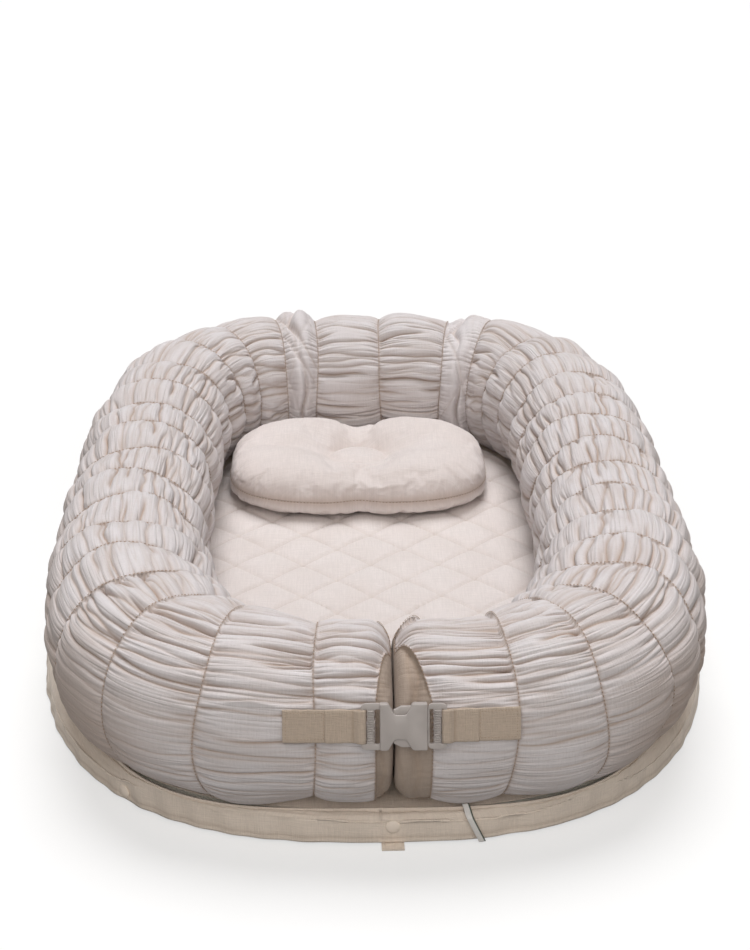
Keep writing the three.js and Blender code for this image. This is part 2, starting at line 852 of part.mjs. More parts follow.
function buckleSocket() {
  const { body, cavity } = socketBody();
  const slotEnd = anchorBarWidth + strapSlotWidth;
  const windows = [
    [anchorBarWidth, slotEnd],
    [slotEnd + ribbedBarWidth, ladderLength],
  ];
  const frame = ladder(0, ladderLength + socketWall, buckleHalfHeight, windows);
  const trimmed = cut(frame, cavity);
  return cut(join(trimmed, body), cavity);
}

const plugStart = socketLength + clearance;
const plugBarStart = plugStart + plugShoulderWidth + plugWindowWidth;
const plugSlotStart = plugBarStart + ribbedBarWidth;
const plugAnchorStart = plugSlotStart + strapSlotWidth;
const plugEnd = plugAnchorStart + anchorBarWidth;

function bucklePlug() {
  const windows = [
    [plugStart + plugShoulderWidth, plugBarStart],
    [plugSlotStart, plugAnchorStart],
  ];
  const frame = ladder(plugStart, plugEnd, plugHalfHeight, windows);
  const tongueStart = plugStart - tongueLength;
  const tongueShape = rectangle(tongueStart, plugStart + plugShoulderWidth, tongueHalfWidth, tongueTipRadius);
  return join(frame, plate(tongueShape, frameMiddle, prongThickness));
}

function prongGeometry(side) {
  const tipEnd = socketLength - prongLength;
  const tipStart = tipEnd + prongTipLength;
  const armOuter = prongArmInner + prongArmWidth;
  const outline = [
    [socketLength, prongArmInner, 0],
    [tipEnd + prongNoseLength / 2, prongArmInner, prongCornerRadius],
    [tipEnd, prongArmInner + prongCornerRadius, prongCornerRadius],
    [tipEnd, prongTipOuter - prongNoseHeight, prongCornerRadius],
    [tipEnd + prongNoseLength, prongTipOuter, prongCornerRadius],
    [tipStart, prongTipOuter, prongCornerRadius],
    [tipStart + prongArmWidth / 2, armOuter, prongCornerRadius],
    [socketLength, armOuter, 0],
  ];
  return plate(roundedOutline(outline.map(([x, y, radius]) => [x, side * y, radius])), frameMiddle, prongThickness);
}

const buckle = new THREE.Group();
buckle.position.x = buckleLeftX;
fastening.add(buckle);
place('buckle_socket', buckleSocket(), finishes.buckle, buckle);
place('buckle_plug', bucklePlug(), finishes.buckle, buckle);
place('plug_prong_upper', prongGeometry(1), finishes.buckle, buckle);
place('plug_prong_lower', prongGeometry(-1), finishes.buckle, buckle);

// Straps, drawn in the group's XZ plane and extruded to the strap's width

function crestLine(from, to, height) {
  const steps = Math.max(1, Math.ceil(Math.abs(to - from) / strapStep));
  const line = [];
  for (let step = 0; step <= steps; step++) {
    const x = from + ((to - from) * step) / steps;
    line.push([x, crestHeight(x) + height, 0]);
  }
  return line;
}

function anticlockwise(corners) {
  const area = THREE.ShapeUtils.area(corners.map(([x, y]) => new THREE.Vector2(x, y)));
  return area < 0 ? corners.toReversed() : corners;
}

function strapSolid(corners, hole) {
  const shape = roundedOutline(anticlockwise(corners));
  if (hole) shape.holes.push(roundedOutline(anticlockwise(hole)));
  return plate(shape, 0, strapWidth).rotateX(Math.PI / 2);
}

const lowerFace = clearance;
const patchFace = lowerFace + strapThickness;
const doubledFace = patchFace + strapThickness;

// A strap's loop: it comes along the bolster doubled, opens and passes round the anchor bar.
// way is 1 where the bar lies to the right of the loop and -1 where it lies to the left.
function strapLoop(farX, barNear, barFar, way, patchFarX) {
  const eyeNear = barNear - way * clearance;
  const eyeFar = barFar + way * clearance;
  const tip = eyeFar + way * strapThickness;
  const eyeBottom = frameMiddle - ladderThickness / 2 - clearance;
  const eyeTop = frameMiddle + ladderThickness / 2 + clearance;
  const under = crestLine(patchFarX, eyeNear, lowerFace);
  const over = crestLine(eyeNear - way * strapTaper, farX, doubledFace);
  const patch = patchFarX === farX ? [] : crestLine(farX, patchFarX, patchFace);
  const outline = [
    ...under,
    [tip, lowerFace, strapEyeRadius],
    [tip, eyeTop + strapThickness, strapEyeRadius],
    [eyeNear, eyeTop + strapThickness, strapEyeRadius],
    ...over,
    ...patch,
  ];
  const eye = [
    [eyeNear, eyeBottom, strapEyeRadius / 2],
    [eyeFar, eyeBottom, strapEyeRadius / 2],
    [eyeFar, eyeTop, strapEyeRadius / 2],
    [eyeNear, eyeTop, strapEyeRadius / 2],
  ];
  return strapSolid(outline, eye);
}

function strapPatch(from, to) {
  return strapSolid([...crestLine(from, to, lowerFace), ...crestLine(to, from, patchFace)]);
}

const leftBarNear = buckleLeftX;
const leftBarFar = buckleLeftX + anchorBarWidth;
const leftLoopFarX = leftPatchFarX + patchLength;
place('strap_left', strapLoop(leftLoopFarX, leftBarNear, leftBarFar, 1, leftPatchFarX), finishes.linen, fastening);

const rightBarNear = buckleLeftX + plugEnd;
const rightBarFar = buckleLeftX + plugAnchorStart;
const rightLoopFarX = rightPatchFarX - patchLength;
const rightLoop = strapLoop(rightLoopFarX, rightBarNear, rightBarFar, -1, rightLoopFarX);
place('strap_right_loop', rightLoop, finishes.linen, fastening);
place('strap_right_patch', strapPatch(rightLoopFarX + clearance, rightPatchFarX), finishes.linen, fastening);

// Woven tape, flat against the skirt

const tapeTop = seat + tapeOverlap;
const tapeOutline = roundedOutline([
  [tapeX, tapeTop, 0],
  [tapeX + tapeWidth, tapeTop, 0],
  [tapeX + tapeWidth + tapeSlant, hemHeight, 0],
  [tapeX + tapeSlant, hemHeight, 0],
]);
const tapeShare = (tapeX + (tapeWidth + tapeSlant) / 2) / basePerimeter;
const tapeColumn = Math.floor((tapeShare - columnPhase) * baseColumns);
const tapeFrom = beside(basePath, tapeColumn / baseColumns + columnPhase, 0, 0);
const tapeTo = beside(basePath, (tapeColumn + 1) / baseColumns + columnPhase, 0, 0);
const tapeGroup = new THREE.Group();
tapeGroup.position.copy(tapeFrom);
tapeGroup.rotation.z = Math.atan2(tapeTo.y - tapeFrom.y, tapeTo.x - tapeFrom.x);
lounger.add(tapeGroup);
const tape = plate(tapeOutline, clearance + tapeThickness / 2, tapeThickness).rotateX(Math.PI / 2);
place('woven_tape', tape.translate(-tapeFrom.x, 0, 0), finishes.tape, tapeGroup);

export default lounger;
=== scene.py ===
import math
from contextlib import contextmanager
from typing import NamedTuple

import bmesh
import bpy
import numpy as np
from mathutils import Matrix, Vector


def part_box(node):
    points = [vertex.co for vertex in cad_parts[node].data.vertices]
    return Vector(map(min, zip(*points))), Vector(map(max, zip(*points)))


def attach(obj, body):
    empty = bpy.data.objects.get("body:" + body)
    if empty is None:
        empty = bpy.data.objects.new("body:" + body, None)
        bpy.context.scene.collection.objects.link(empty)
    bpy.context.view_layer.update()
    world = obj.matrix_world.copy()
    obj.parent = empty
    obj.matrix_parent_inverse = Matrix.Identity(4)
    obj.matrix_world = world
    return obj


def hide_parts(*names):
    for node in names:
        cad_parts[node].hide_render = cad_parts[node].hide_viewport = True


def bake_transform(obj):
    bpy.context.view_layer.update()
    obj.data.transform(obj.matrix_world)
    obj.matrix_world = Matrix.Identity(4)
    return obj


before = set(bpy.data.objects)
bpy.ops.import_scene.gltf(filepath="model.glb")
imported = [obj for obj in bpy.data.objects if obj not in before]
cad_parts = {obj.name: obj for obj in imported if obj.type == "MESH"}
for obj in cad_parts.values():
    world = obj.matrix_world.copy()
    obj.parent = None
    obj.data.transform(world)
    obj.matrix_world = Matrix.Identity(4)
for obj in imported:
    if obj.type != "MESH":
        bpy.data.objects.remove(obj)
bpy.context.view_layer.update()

bl_info = {
    "name": "Infant Lounger",
    "version": (1, 0, 0),
    "blender": (4, 5, 0),
    "location": "3D Viewport > Sidebar > Lounger",
    "description": "Gauze bolster, quilted mat, pillow, linen base and buckle of an infant lounger",
    "category": "Add Mesh",
}

MM = 0.001
WELD = 0.01 * MM
BUCKLE_CORNER = math.radians(28)
STITCH_PITCH = 3.4 * MM
SEAM_THREAD = (2.3 * MM, 0.7 * MM)


def linear(code):
    """Linear colour of an sRGB hex code."""
    values = [int(code[place:place + 2], 16) / 255 for place in (1, 3, 5)]
    return tuple(v / 12.92 if v <= 0.04045 else ((v + 0.055) / 1.055) ** 2.4 for v in values)


def length(name, description, millimetres):
    return bpy.props.FloatProperty(name=name, description=description, default=millimetres * MM, unit="LENGTH")


def number(name, description, default):
    return bpy.props.FloatProperty(name=name, description=description, default=default)


def count(name, description, default):
    return bpy.props.IntProperty(name=name, description=description, default=default, min=1)


def dye(name, description, code):
    return bpy.props.FloatVectorProperty(
        name=name, description=description, default=linear(code), subtype="COLOR", size=3, min=0, max=1)


# Sizes and colours

class BolsterSettings(bpy.types.PropertyGroup):
    ring_half_width: length("Ring half width", "Middle line of the tube, across", 220)
    ring_half_length: length("Ring half length", "Middle line of the tube, lengthways", 360)
    ring_squareness: number("Ring squareness", "2 is an ellipse, more is squarer", 3.9)
    tube_half_width: length("Tube half width", "Half the width of the tube", 70)
    tube_half_height: length("Tube half height", "Half the height of the tube before it sags", 75)
    tube_middle: length("Tube middle", "Height of the middle of the tube", 98)
    seat: length("Seat", "Height of the top of the base", 28)
    ends_meet: length("Ends meet", "How far right of the middle the two ends meet", 9.5)
    end_gap: length("End gap", "Gap between the two ends", 1)
    end_rounding: length("End rounding", "Rounding of the two ends", 24)
    side_channels: count("Side channels", "Sewn channels on each side", 12)
    corner_fullness: length("Corner fullness", "How much fuller the tube is inside its foot corners", 24)
    corner_rise: length("Corner rise", "How much higher the tube stands at its foot corners", 10)
    swell: length("Swell", "How far the cover swells on its outer side", 3.5)
    columns: count("Columns", "Points round the tube", 460)
    fine_columns: count("Fine columns", "Points round the tube at the foot end, where the folds are fine", 900)


class BaseSettings(bpy.types.PropertyGroup):
    half_width: length("Half width", "Half the width of the base", 307)
    half_length: length("Half length", "Half the length of the base", 404)
    squareness: number("Squareness", "2 is an ellipse, more is squarer", 2.6)
    setback: length("Setback", "How far the foam and panels lie inside the skirt", 9.8)
    foam_bottom: length("Foam bottom", "Height of the underside of the foam", 1.5)
    foam_top: length("Foam top", "Height of the top of the foam", 26.2)
    panel: length("Panel thickness", "Thickness of the linen panels with their lining", 1.2)
    deck_bottom: length("Deck bottom", "Height of the underside of the top panel", 26.5)
    skirt_seam: length("Skirt seam", "How far outside the tube's middle line the skirt is sewn on", 36)
    skirt_fold: length("Skirt fold", "How high the soft fold of the skirt stands", 7.5)
    skirt_cloth: length("Skirt cloth", "Thickness of the skirt", 1.2)
    hem: length("Hem", "Height of the skirt's hem above the floor", 2.2)


class MatSettings(bpy.types.PropertyGroup):
    inset: length("Inset", "How far the mat's edge lies inside the tube's middle line", 45.4)
    edge: length("Edge", "Thickness of the mat at its edge", 10)
    crown: length("Crown", "How much higher the middle of the mat is", 6)
    rim_share: number("Rim share", "Share of the half width over which the crown rises", 0.28)
    quilt: length("Quilt", "Distance between the quilting lines along X", 66)
    puff: length("Puff", "Height of a quilted diamond", 3.2)


class PillowSettings(bpy.types.PropertyGroup):
    middle_x: length("Middle X", "Middle of the pillow, across", -10)
    middle_y: length("Middle Y", "Middle of the pillow, lengthways", 185)
    half_length: length("Half length", "Half the length of the pillow", 134)
    half_depth: length("Half depth", "Half the depth of the pillow", 91)
    squareness: number("Squareness", "2 is an ellipse, more is squarer", 3.0)
    dip: length("Dip", "How far the front and back edges dip in at the middle", 7)
    seam: length("Seam", "Height of the seam", 66)
    rise: length("Rise", "Height of the upper half", 27.5)
    drop: length("Drop", "Height of the lower half", 18.7)
    valley: length("Valley", "Depth of the valleys between the lobes", 9.5)
    hollow: length("Hollow", "Depth of the hollow for the head", 20)
    hollow_radius: length("Hollow radius", "Radius of the hollow's stitched ring", 31)
    mat_top: length("Mat top", "Height of the mat under the pillow", 46.9)
    most_swell: length("Most swell", "How far the cloth may move from its cut shape", 7)


class FasteningSettings(bpy.types.PropertyGroup):
    tilt: number("Tilt", "Angle of the buckle's face round the tube, in degrees", 20)
    strap_width: length("Strap width", "Width of the linen straps", 25.4)
    strap_cloth: length("Strap cloth", "Thickness of a strap", 1.2)
    left_far: length("Left far end", "Where the left strap is sewn on", -75)
    left_double: length("Left double end", "How far the left strap comes back along itself", -43)
    left_bar: length("Left bar", "Middle of the bar of the socket", -14.9)
    right_bar: length("Right bar", "Middle of the bar of the plug", 47.9)
    right_double: length("Right double end", "How far the right strap comes back along itself", 73)
    right_far: length("Right far end", "Where the right strap is sewn on", 105)
    slack_from: length("Slack from", "Where the right strap starts to follow the plug", 51)
    slack_to: length("Slack to", "Where the right strap is held by the bolster", 89)


class ClothSettings(bpy.types.PropertyGroup):
    gauze: dye("Gauze", "Washed cotton gauze of the bolster", "#DBD6D7")
    # Painted shade: the gauze's colour at the bottom of a fold
    gauze_painted_shade: dye("Gauze shade", "Gauze at the bottom of a fold", "#9F8268")
    mat: dye("Mat cloth", "Slub cotton of the mat", "#DDD5D2")
    pillow: dye("Pillow cloth", "Slub cotton of the pillow", "#DCD3D0")
    linen: dye("Linen", "Linen of the base", "#F6E9DB")
    # Painted shade: the linen's colour at the bottom of a fold
    linen_painted_shade: dye("Linen shade", "Linen at the bottom of a fold", "#A78F79")
    # Partly painted shade: browner plain linen, darkened further for the shade in the gap between the ends
    end_cloth: dye("End cloth", "Plain linen of the bolster's ends", "#AE9F93")
    webbing: dye("Strap linen", "Linen of the straps", "#C0B0A0")
    thread: dye("Thread", "Sewing thread", "#A8907B")
    plastic: dye("Buckle plastic", "Moulded plastic of the buckle", "#B4ADA9")
    tape: dye("Tape", "White cotton tape", "#F1EFEC")
    tape_edge: dye("Tape edge", "Dark selvedge of the tape", "#3C4A40")


class StageSettings(bpy.types.PropertyGroup):
    lens: number("Lens", "Focal length of the camera on a 36 mm sensor", 71.26)
    shift_x: number("Shift X", "Sideways shift of the frame", 0.00495)
    shift_y: number("Shift Y", "Upward shift of the frame", 0.0228)
    distance: length("Distance", "From the camera to the middle of the lounger", 1866.6)
    elevation: number("Elevation", "Angle of the camera above the floor, in degrees", 24.8)
    azimuth: number("Azimuth", "Angle of the camera round the lounger, in degrees", -1.1)
    aim_x: length("Aim X", "Point that the camera looks at, across", 0.5)
    aim_y: length("Aim Y", "Point that the camera looks at, lengthways", 57.2)
    aim_z: length("Aim Z", "Height of the point that the camera looks at", 90)
    floor: dye("Floor", "Pale grey floor", "#A8A8A7")


class LoungerSettings(bpy.types.PropertyGroup):
    bolster: bpy.props.PointerProperty(type=BolsterSettings)
    base: bpy.props.PointerProperty(type=BaseSettings)
    mat: bpy.props.PointerProperty(type=MatSettings)
    pillow: bpy.props.PointerProperty(type=PillowSettings)
    fastening: bpy.props.PointerProperty(type=FasteningSettings)
    cloth: bpy.props.PointerProperty(type=ClothSettings)
    stage: bpy.props.PointerProperty(type=StageSettings)


# Materials

def add_node(tree, kind, inputs=None, **settings):
    """Add a shader node; inputs gives its sockets values, or outputs or whole nodes to link."""
    made = tree.nodes.new("ShaderNode" + kind)
    for key, value in settings.items():
        setattr(made, key, value)
    for key, value in (inputs or {}).items():
        if isinstance(value, bpy.types.Node):
            value = next(socket for socket in value.outputs if socket.enabled)
        if isinstance(value, bpy.types.NodeSocket):
            tree.links.new(value, made.inputs[key])
        else:
            made.inputs[key].default_value = value
    return made


def new_material(name):
    """An empty node material, the tree to build it in, and its output."""
    material = bpy.data.materials.new(name)
    material.use_nodes = True
    tree = material.node_tree
    tree.nodes.clear()
    return material, tree, add_node(tree, "OutputMaterial")


def rgba(colour, factor=1.0):
    return (*(min(1.0, part * factor) for part in colour), 1.0)


def streaks(tree, coordinates, width, run, turned, detail=2.0):
    """Thick and thin places of yarn: a noise drawn out along one direction of the weave."""
    scale = (1 / run, 1 / width, 1 / width) if turned else (1 / width, 1 / run, 1 / width)
    stretched = add_node(tree, "Mapping", {"Vector": coordinates, "Scale": scale})
    return add_node(tree, "TexNoise", {"Vector": stretched, "Scale": 1.0, "Detail": detail})


def woven(name, colour, shade, slub, yarn, contrast, bump, sheen=0.25, shade_share=0.6, mottle=0.04, fine=None):
    """Woven cloth that follows its piece's UV map, which is in metres.

    slub is the width and the length of a thick place in the yarn, yarn the thread spacing, and fine the width, the
    length and the depth of the finest creases, which run from seam to seam. shade is a painted shade colour, mixed
    in by the piece's crease attribute up to shade_share and along the finest creases; on the tape it is the dark
    edge.
    """
    material, tree, output = new_material(name)
    uv = add_node(tree, "TexCoord").outputs["UV"]
    weft = streaks(tree, uv, slub[0] * MM, slub[1] * MM, False)
    warp = streaks(tree, uv, slub[0] * MM, slub[1] * MM, True)
    both = add_node(tree, "Math", {0: weft, 1: warp}, operation="ADD")
    thick = add_node(tree, "MapRange", {0: both, 1: 0.78, 2: 1.22})
    thread_in = streaks(tree, uv, yarn * MM, yarn * 5 * MM, False, 0.0)
    thread_out = streaks(tree, uv, yarn * MM, yarn * 5 * MM, True, 0.0)
    threads = add_node(tree, "Math", {0: thread_in, 1: thread_out}, operation="MAXIMUM")
    thin, full = rgba(colour, 1 - contrast), rgba(colour, 1 + contrast)
    plain = add_node(tree, "Mix", {0: thick, 6: thin, 7: full}, data_type="RGBA")
    gaps = add_node(tree, "MapRange", {0: threads, 1: 0.4, 2: 0.75, 3: 0.35, 4: 0.0})
    close = add_node(tree, "Mix", {0: gaps, 6: plain, 7: rgba(colour, 1 - 2.2 * contrast)}, data_type="RGBA")
    cloud = add_node(tree, "TexNoise", {"Vector": uv, "Scale": 1 / (45 * MM), "Detail": 1.0})
    warmed = add_node(tree, "MapRange", {0: cloud, 1: 0.35, 2: 0.65, 3: mottle * 4, 4: 0.0})
    warm = tuple(0.6 * plain_part + 0.4 * shade_part for plain_part, shade_part in zip(colour, shade))
    cloudy = add_node(tree, "Mix", {0: warmed, 6: close, 7: rgba(warm)}, data_type="RGBA")
    # Painted shade from the crease attribute; on the tape the same mix draws its dark edge, which is the tape's own
    # colour
    crease = add_node(tree, "Attribute", attribute_name="crease").outputs["Fac"]
    shaded = add_node(tree, "MapRange", {0: crease, 4: shade_share})
    tinted = add_node(tree, "Mix", {0: shaded, 6: cloudy, 7: rgba(shade)}, data_type="RGBA")
    height = add_node(tree, "Math", {0: thick, 1: threads}, operation="ADD")
    relief = add_node(tree, "Bump", {"Height": height, "Strength": 0.6, "Distance": bump * MM})
    if fine:
        # Painted shade along the finest creases, which also get a bump
        swing = streaks(tree, uv, fine[0] * MM, fine[1] * MM, False, 1.0)
        off = add_node(tree, "Math", {0: swing, 1: 0.5}, operation="SUBTRACT")
        away = add_node(tree, "Math", {0: off}, operation="ABSOLUTE")
        line = add_node(tree, "MapRange", {0: away, 2: 0.07, 3: 1.0, 4: 0.0})
        painted_shade_mask = add_node(tree, "MapRange", {0: line, 1: 0.2, 4: 0.14})
        tinted = add_node(tree, "Mix", {0: painted_shade_mask, 6: tinted, 7: rgba(shade)}, data_type="RGBA")
        smooth = add_node(tree, "MapRange", {0: away, 2: 0.12})
        relief = add_node(tree, "Bump", {
            "Height": smooth, "Strength": 0.8, "Distance": fine[2] * MM, "Normal": relief})
    surface = add_node(tree, "BsdfPrincipled", {
        "Base Color": tinted, "Roughness": 0.92, "Sheen Weight": sheen, "Sheen Roughness": 0.5,
        "Specular IOR Level": 0.2, "Normal": relief})
    tree.links.new(surface.outputs[0], output.inputs[0])
    return material


def moulded_plastic(name, colour):
    """Injection-moulded acetal: even, faintly grained and half matt, so its edges catch the light."""
    # The mould's grain is finer than 0.1 mm, and is drawn at 0.5 mm so that it shows
    material, tree, output = new_material(name)
    place = add_node(tree, "TexCoord").outputs["Object"]
    grain = add_node(tree, "TexNoise", {"Vector": place, "Scale": 1 / (0.5 * MM), "Detail": 1.0})
    flow = add_node(tree, "TexNoise", {"Vector": place, "Scale": 1 / (14 * MM), "Detail": 1.0})
    flowed = add_node(tree, "MapRange", {0: flow, 1: 0.35, 2: 0.65})
    toned = add_node(tree, "Mix", {0: flowed, 6: rgba(colour, 0.95), 7: rgba(colour, 1.04)}, data_type="RGBA")
    satin = add_node(tree, "MapRange", {0: grain, 1: 0.3, 2: 0.7, 3: 0.38, 4: 0.5})
    relief = add_node(tree, "Bump", {"Height": grain, "Strength": 0.5, "Distance": 0.05 * MM})
    surface = add_node(tree, "BsdfPrincipled", {
        "Base Color": toned, "Roughness": satin, "IOR": 1.48, "Normal": relief})
    tree.links.new(surface.outputs[0], output.inputs[0])
    return material


def crumbed_foam(name, colour):
    """Cut polyurethane foam: matt and open-celled, with fine pores."""
    # The pores are about 0.8 mm wide, and are drawn twice as wide so that they show
    material, tree, output = new_material(name)
    place = add_node(tree, "TexCoord").outputs["Object"]
    cells = add_node(tree, "TexVoronoi", {"Vector": place, "Scale": 1 / (1.6 * MM)})
    toned = add_node(tree, "Mix", {0: cells, 6: rgba(colour, 0.8), 7: rgba(colour)}, data_type="RGBA")
    relief = add_node(tree, "Bump", {"Height": cells, "Strength": 0.8, "Distance": 0.4 * MM})
    surface = add_node(tree, "BsdfPrincipled", {"Base Color": toned, "Roughness": 0.95, "Normal": relief})
    tree.links.new(surface.outputs[0], output.inputs[0])
    return material


MATERIALS = {}


def make_materials(cloth):
    # The real threads lie about 0.5 mm apart, too fine to show here, so the weaves are drawn about twice as coarse
    # Washed double gauze: soft and matt, with faint crossed slubs, and painted warm shade in its folds
    MATERIALS["gauze"] = woven(
        "cotton_gauze_washed", cloth.gauze, cloth.gauze_painted_shade, (1.4, 16), 1.0, 0.035, 0.25, 0.08,
        shade_share=0.85, mottle=0.08, fine=(7, 110, 0.5))
    # The same gauze, bunched up loosely
    MATERIALS["loose_gauze"] = woven(
        "cotton_gauze_loose", cloth.gauze, cloth.gauze_painted_shade, (1.4, 20), 1.0, 0.04, 0.2, 0.08)
    # Plain linen of the two ends: drier and browner than the gauze, and darkened further as painted shade for the
    # gap that the ends lie in
    MATERIALS["end_linen"] = woven(
        "linen_ends", cloth.end_cloth, cloth.linen_painted_shade, (1.1, 18), 1.0, 0.05, 0.25, 0.08)
    # Slub cotton: broken crossed streaks from thick places in the yarn
    MATERIALS["mat"] = woven("slub_cotton_mat", cloth.mat, cloth.gauze_painted_shade, (1.5, 26), 1.1, 0.05, 0.25)
    MATERIALS["pillow"] = woven("slub_cotton_pillow", cloth.pillow, cloth.gauze_painted_shade, (1.4, 20), 1.0, 0.05, 0.25)
    # Plain-woven linen: beige, with a dry, slightly uneven surface
    MATERIALS["linen"] = woven("linen_plain_weave", cloth.linen, cloth.linen_painted_shade, (1.1, 18), 1.0, 0.06, 0.3, 0.15)
    MATERIALS["strap"] = woven("linen_strap", cloth.webbing, cloth.linen_painted_shade, (0.9, 9), 0.9, 0.08, 0.35, 0.15)
    # Woven cotton tape: close twill, bright and flat, with a dark selvedge
    MATERIALS["tape"] = woven("cotton_twill_tape", cloth.tape, cloth.tape_edge, (0.8, 5), 0.7, 0.05, 0.2, 0.1, 1.0)
    # Polyester wadding: loose white fibre
    MATERIALS["wadding"] = woven("polyester_wadding", linear("#EEEDEA"), linear("#DDDBD6"), (2, 12), 1.6, 0.05, 0.8)
    # Spun polyester thread: a little brighter than the cloth that it sews
    MATERIALS["thread"] = woven("polyester_thread", cloth.thread, cloth.linen_painted_shade, (0.5, 2), 0.5, 0.03, 0.05)
    MATERIALS["buckle"] = moulded_plastic("acetal_moulded", cloth.plastic)
    MATERIALS["stud"] = moulded_plastic("nylon_press_stud", tuple(part * 1.05 for part in cloth.linen))
    MATERIALS["foam"] = crumbed_foam("polyurethane_foam_cut", linear("#F0EEE4"))


# Meshes

def points_of(mesh):
    values = np.empty(len(mesh.vertices) * 3)
    mesh.vertices.foreach_get("co", values)
    return values.reshape(-1, 3)


def set_points(mesh, points):
    mesh.vertices.foreach_set("co", np.ascontiguousarray(points, dtype=float).ravel())
    mesh.update()


@contextmanager
def editing(mesh):
    """The mesh as a bmesh, which is written back to it afterwards."""
    bm = bmesh.new()
    bm.from_mesh(mesh)
    yield bm
    bm.to_mesh(mesh)
    bm.free()


def cloth_grid(columns, rows):
    """A flat piece of cloth, with the share across and along it of each of its points."""
    mesh = bpy.data.meshes.new("cloth")
    with editing(mesh) as bm:
        bmesh.ops.create_grid(bm, x_segments=columns, y_segments=rows, size=0.5)
    flat = points_of(mesh)
    return mesh, np.clip(flat[:, 0] + 0.5, 0, 1), np.clip(flat[:, 1] + 0.5, 0, 1)


def set_weave(mesh, uv):
    """Keep where each point lies in its cloth, as the UV map that the weave follows."""
    corner = np.empty(len(mesh.loops), dtype=np.int32)
    mesh.loops.foreach_get("vertex_index", corner)
    layer = mesh.uv_layers.get("weave") or mesh.uv_layers.new(name="weave")
    layer.data.foreach_set("uv", np.ascontiguousarray(uv[corner]).ravel())


def lay(mesh, points, uv, crease=None):
    """Move the cloth's points to their places; crease is how much painted shade each one gets, or on the tape where
    its dark edge lies.
    """
    set_points(mesh, points)
    set_weave(mesh, uv)
    attribute = mesh.attributes.new("crease", "FLOAT", "POINT")
    attribute.data.foreach_set("value", np.zeros(len(points)) if crease is None else np.clip(crease, 0, 1))


def closed(mesh):
    """Weld the edges that meet, close what is left open with a fan and turn the faces outwards."""
    with editing(mesh) as bm:
        bmesh.ops.remove_doubles(bm, verts=bm.verts, dist=WELD)
        rims = [edge for edge in bm.edges if edge.is_boundary]
        if rims:
            fans = bmesh.ops.holes_fill(bm, edges=rims, sides=0)["faces"]
            bmesh.ops.poke(bm, faces=fans)
        bmesh.ops.recalc_face_normals(bm, faces=bm.faces)
    mesh.shade_smooth()
    return mesh


def add_piece(name, mesh, material, nodes, body="root"):
    """Put a piece in the scene in place of its CAD nodes, riding on a body."""
    mesh.name = name
    mesh.materials.clear()
    mesh.materials.append(MATERIALS[material])
    piece = bpy.data.objects.new(name, mesh)
    bpy.context.collection.objects.link(piece)
    if body:
        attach(piece, body)
    if nodes:
        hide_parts(*nodes)
    return piece


def thicken(piece, thickness, offset=-1.0):
    modifier = piece.modifiers.new("cloth", "SOLIDIFY")
    modifier.thickness = thickness
    modifier.offset = offset


def smoothstep(low, high, value):
    share = np.clip((value - low) / (high - low), 0, 1)
    return share * share * (3 - 2 * share)


def unit(vectors):
    return vectors / np.linalg.norm(vectors, axis=-1, keepdims=True)


def short_way(distance, around):
    """Signed distance on a closed line, the shorter way round."""
    return (distance + around / 2) % around - around / 2


def rounded_reach(angle, half_width, half_length, squareness):
    """Distance from the middle of a rounded outline to its rim; 2 is an ellipse, more is squarer."""
    across = np.abs(np.cos(angle) / half_width) ** squareness
    return (across + np.abs(np.sin(angle) / half_length) ** squareness) ** (-1 / squareness)


def rounded_side(share, squareness):
    """Share of the half length that a rounded outline keeps at a share of its half width."""
    return (1 - share ** squareness) ** (1 / squareness)


class Ring:
    """A rounded ring, measured from the middle of its foot end, anticlockwise seen from above."""

    def __init__(self, half_width, half_length, squareness, steps=2400):
        turn = np.linspace(-0.5, 1.5, steps, endpoint=False) * math.pi
        reach = rounded_reach(turn, half_width, half_length, squareness)
        self.points = np.stack([reach * np.cos(turn), reach * np.sin(turn)], axis=1)
        ahead = np.roll(self.points, -1, axis=0)
        step = np.linalg.norm(ahead - self.points, axis=1)
        self.run = np.concatenate([[0], np.cumsum(step)[:-1]])
        self.length = step.sum()
        tangent = unit(ahead - np.roll(self.points, 1, axis=0))
        self.outward = np.stack([tangent[:, 1], -tangent[:, 0]], axis=1)

    def at(self, distance):
        """Points on the ring and their outward directions."""
        def read(values):
            parts = [np.interp(distance, self.run, values[:, axis], period=self.length) for axis in (0, 1)]
            return np.stack(parts, axis=-1)
        return read(self.points), read(self.outward)


def polar(outline, angle):
    """Distance from the middle to a closed outline in the direction of angle."""
    turn = np.arctan2(outline[:, 1], outline[:, 0])
    order = np.argsort(turn)
    return np.interp(angle, turn[order], np.hypot(outline[order, 0], outline[order, 1]), period=2 * math.pi)


# Folds in cloth

class Ruching(NamedTuple):
    """How gathered cloth folds between two seams, in metres; through is the share of folds that reach both."""
    pitch: float
    depth: float
    width: float
    slant: float
    wander: float
    through: float


RUCHING = {
    "foot": Ruching(8.2 * MM, 3.0 * MM, 0.95 * MM, 6 * MM, 0.9 * MM, 0.72),
    "foot_broad": Ruching(19 * MM, 5.2 * MM, 2.4 * MM, 10 * MM, 1.5 * MM, 0.5),
    "side": Ruching(10.5 * MM, 4.6 * MM, 1.6 * MM, 9 * MM, 1.3 * MM, 0.72),
    "head": Ruching(8.6 * MM, 5.4 * MM, 1.3 * MM, 5 * MM, 1.2 * MM, 0.6),
}


class Style(NamedTuple):
    """How one kind of panel is sewn. Lengths in metres.

    spacing is between its points along the tube, and fine says that they lie close together round it; draw is how
    far its seams draw the cloth in, gather how deep the puckers at them are, and roundness how late it fills out.
    """
    spacing: float
    fine: bool
    draw: float
    gather: float
    roundness: float
    material: str


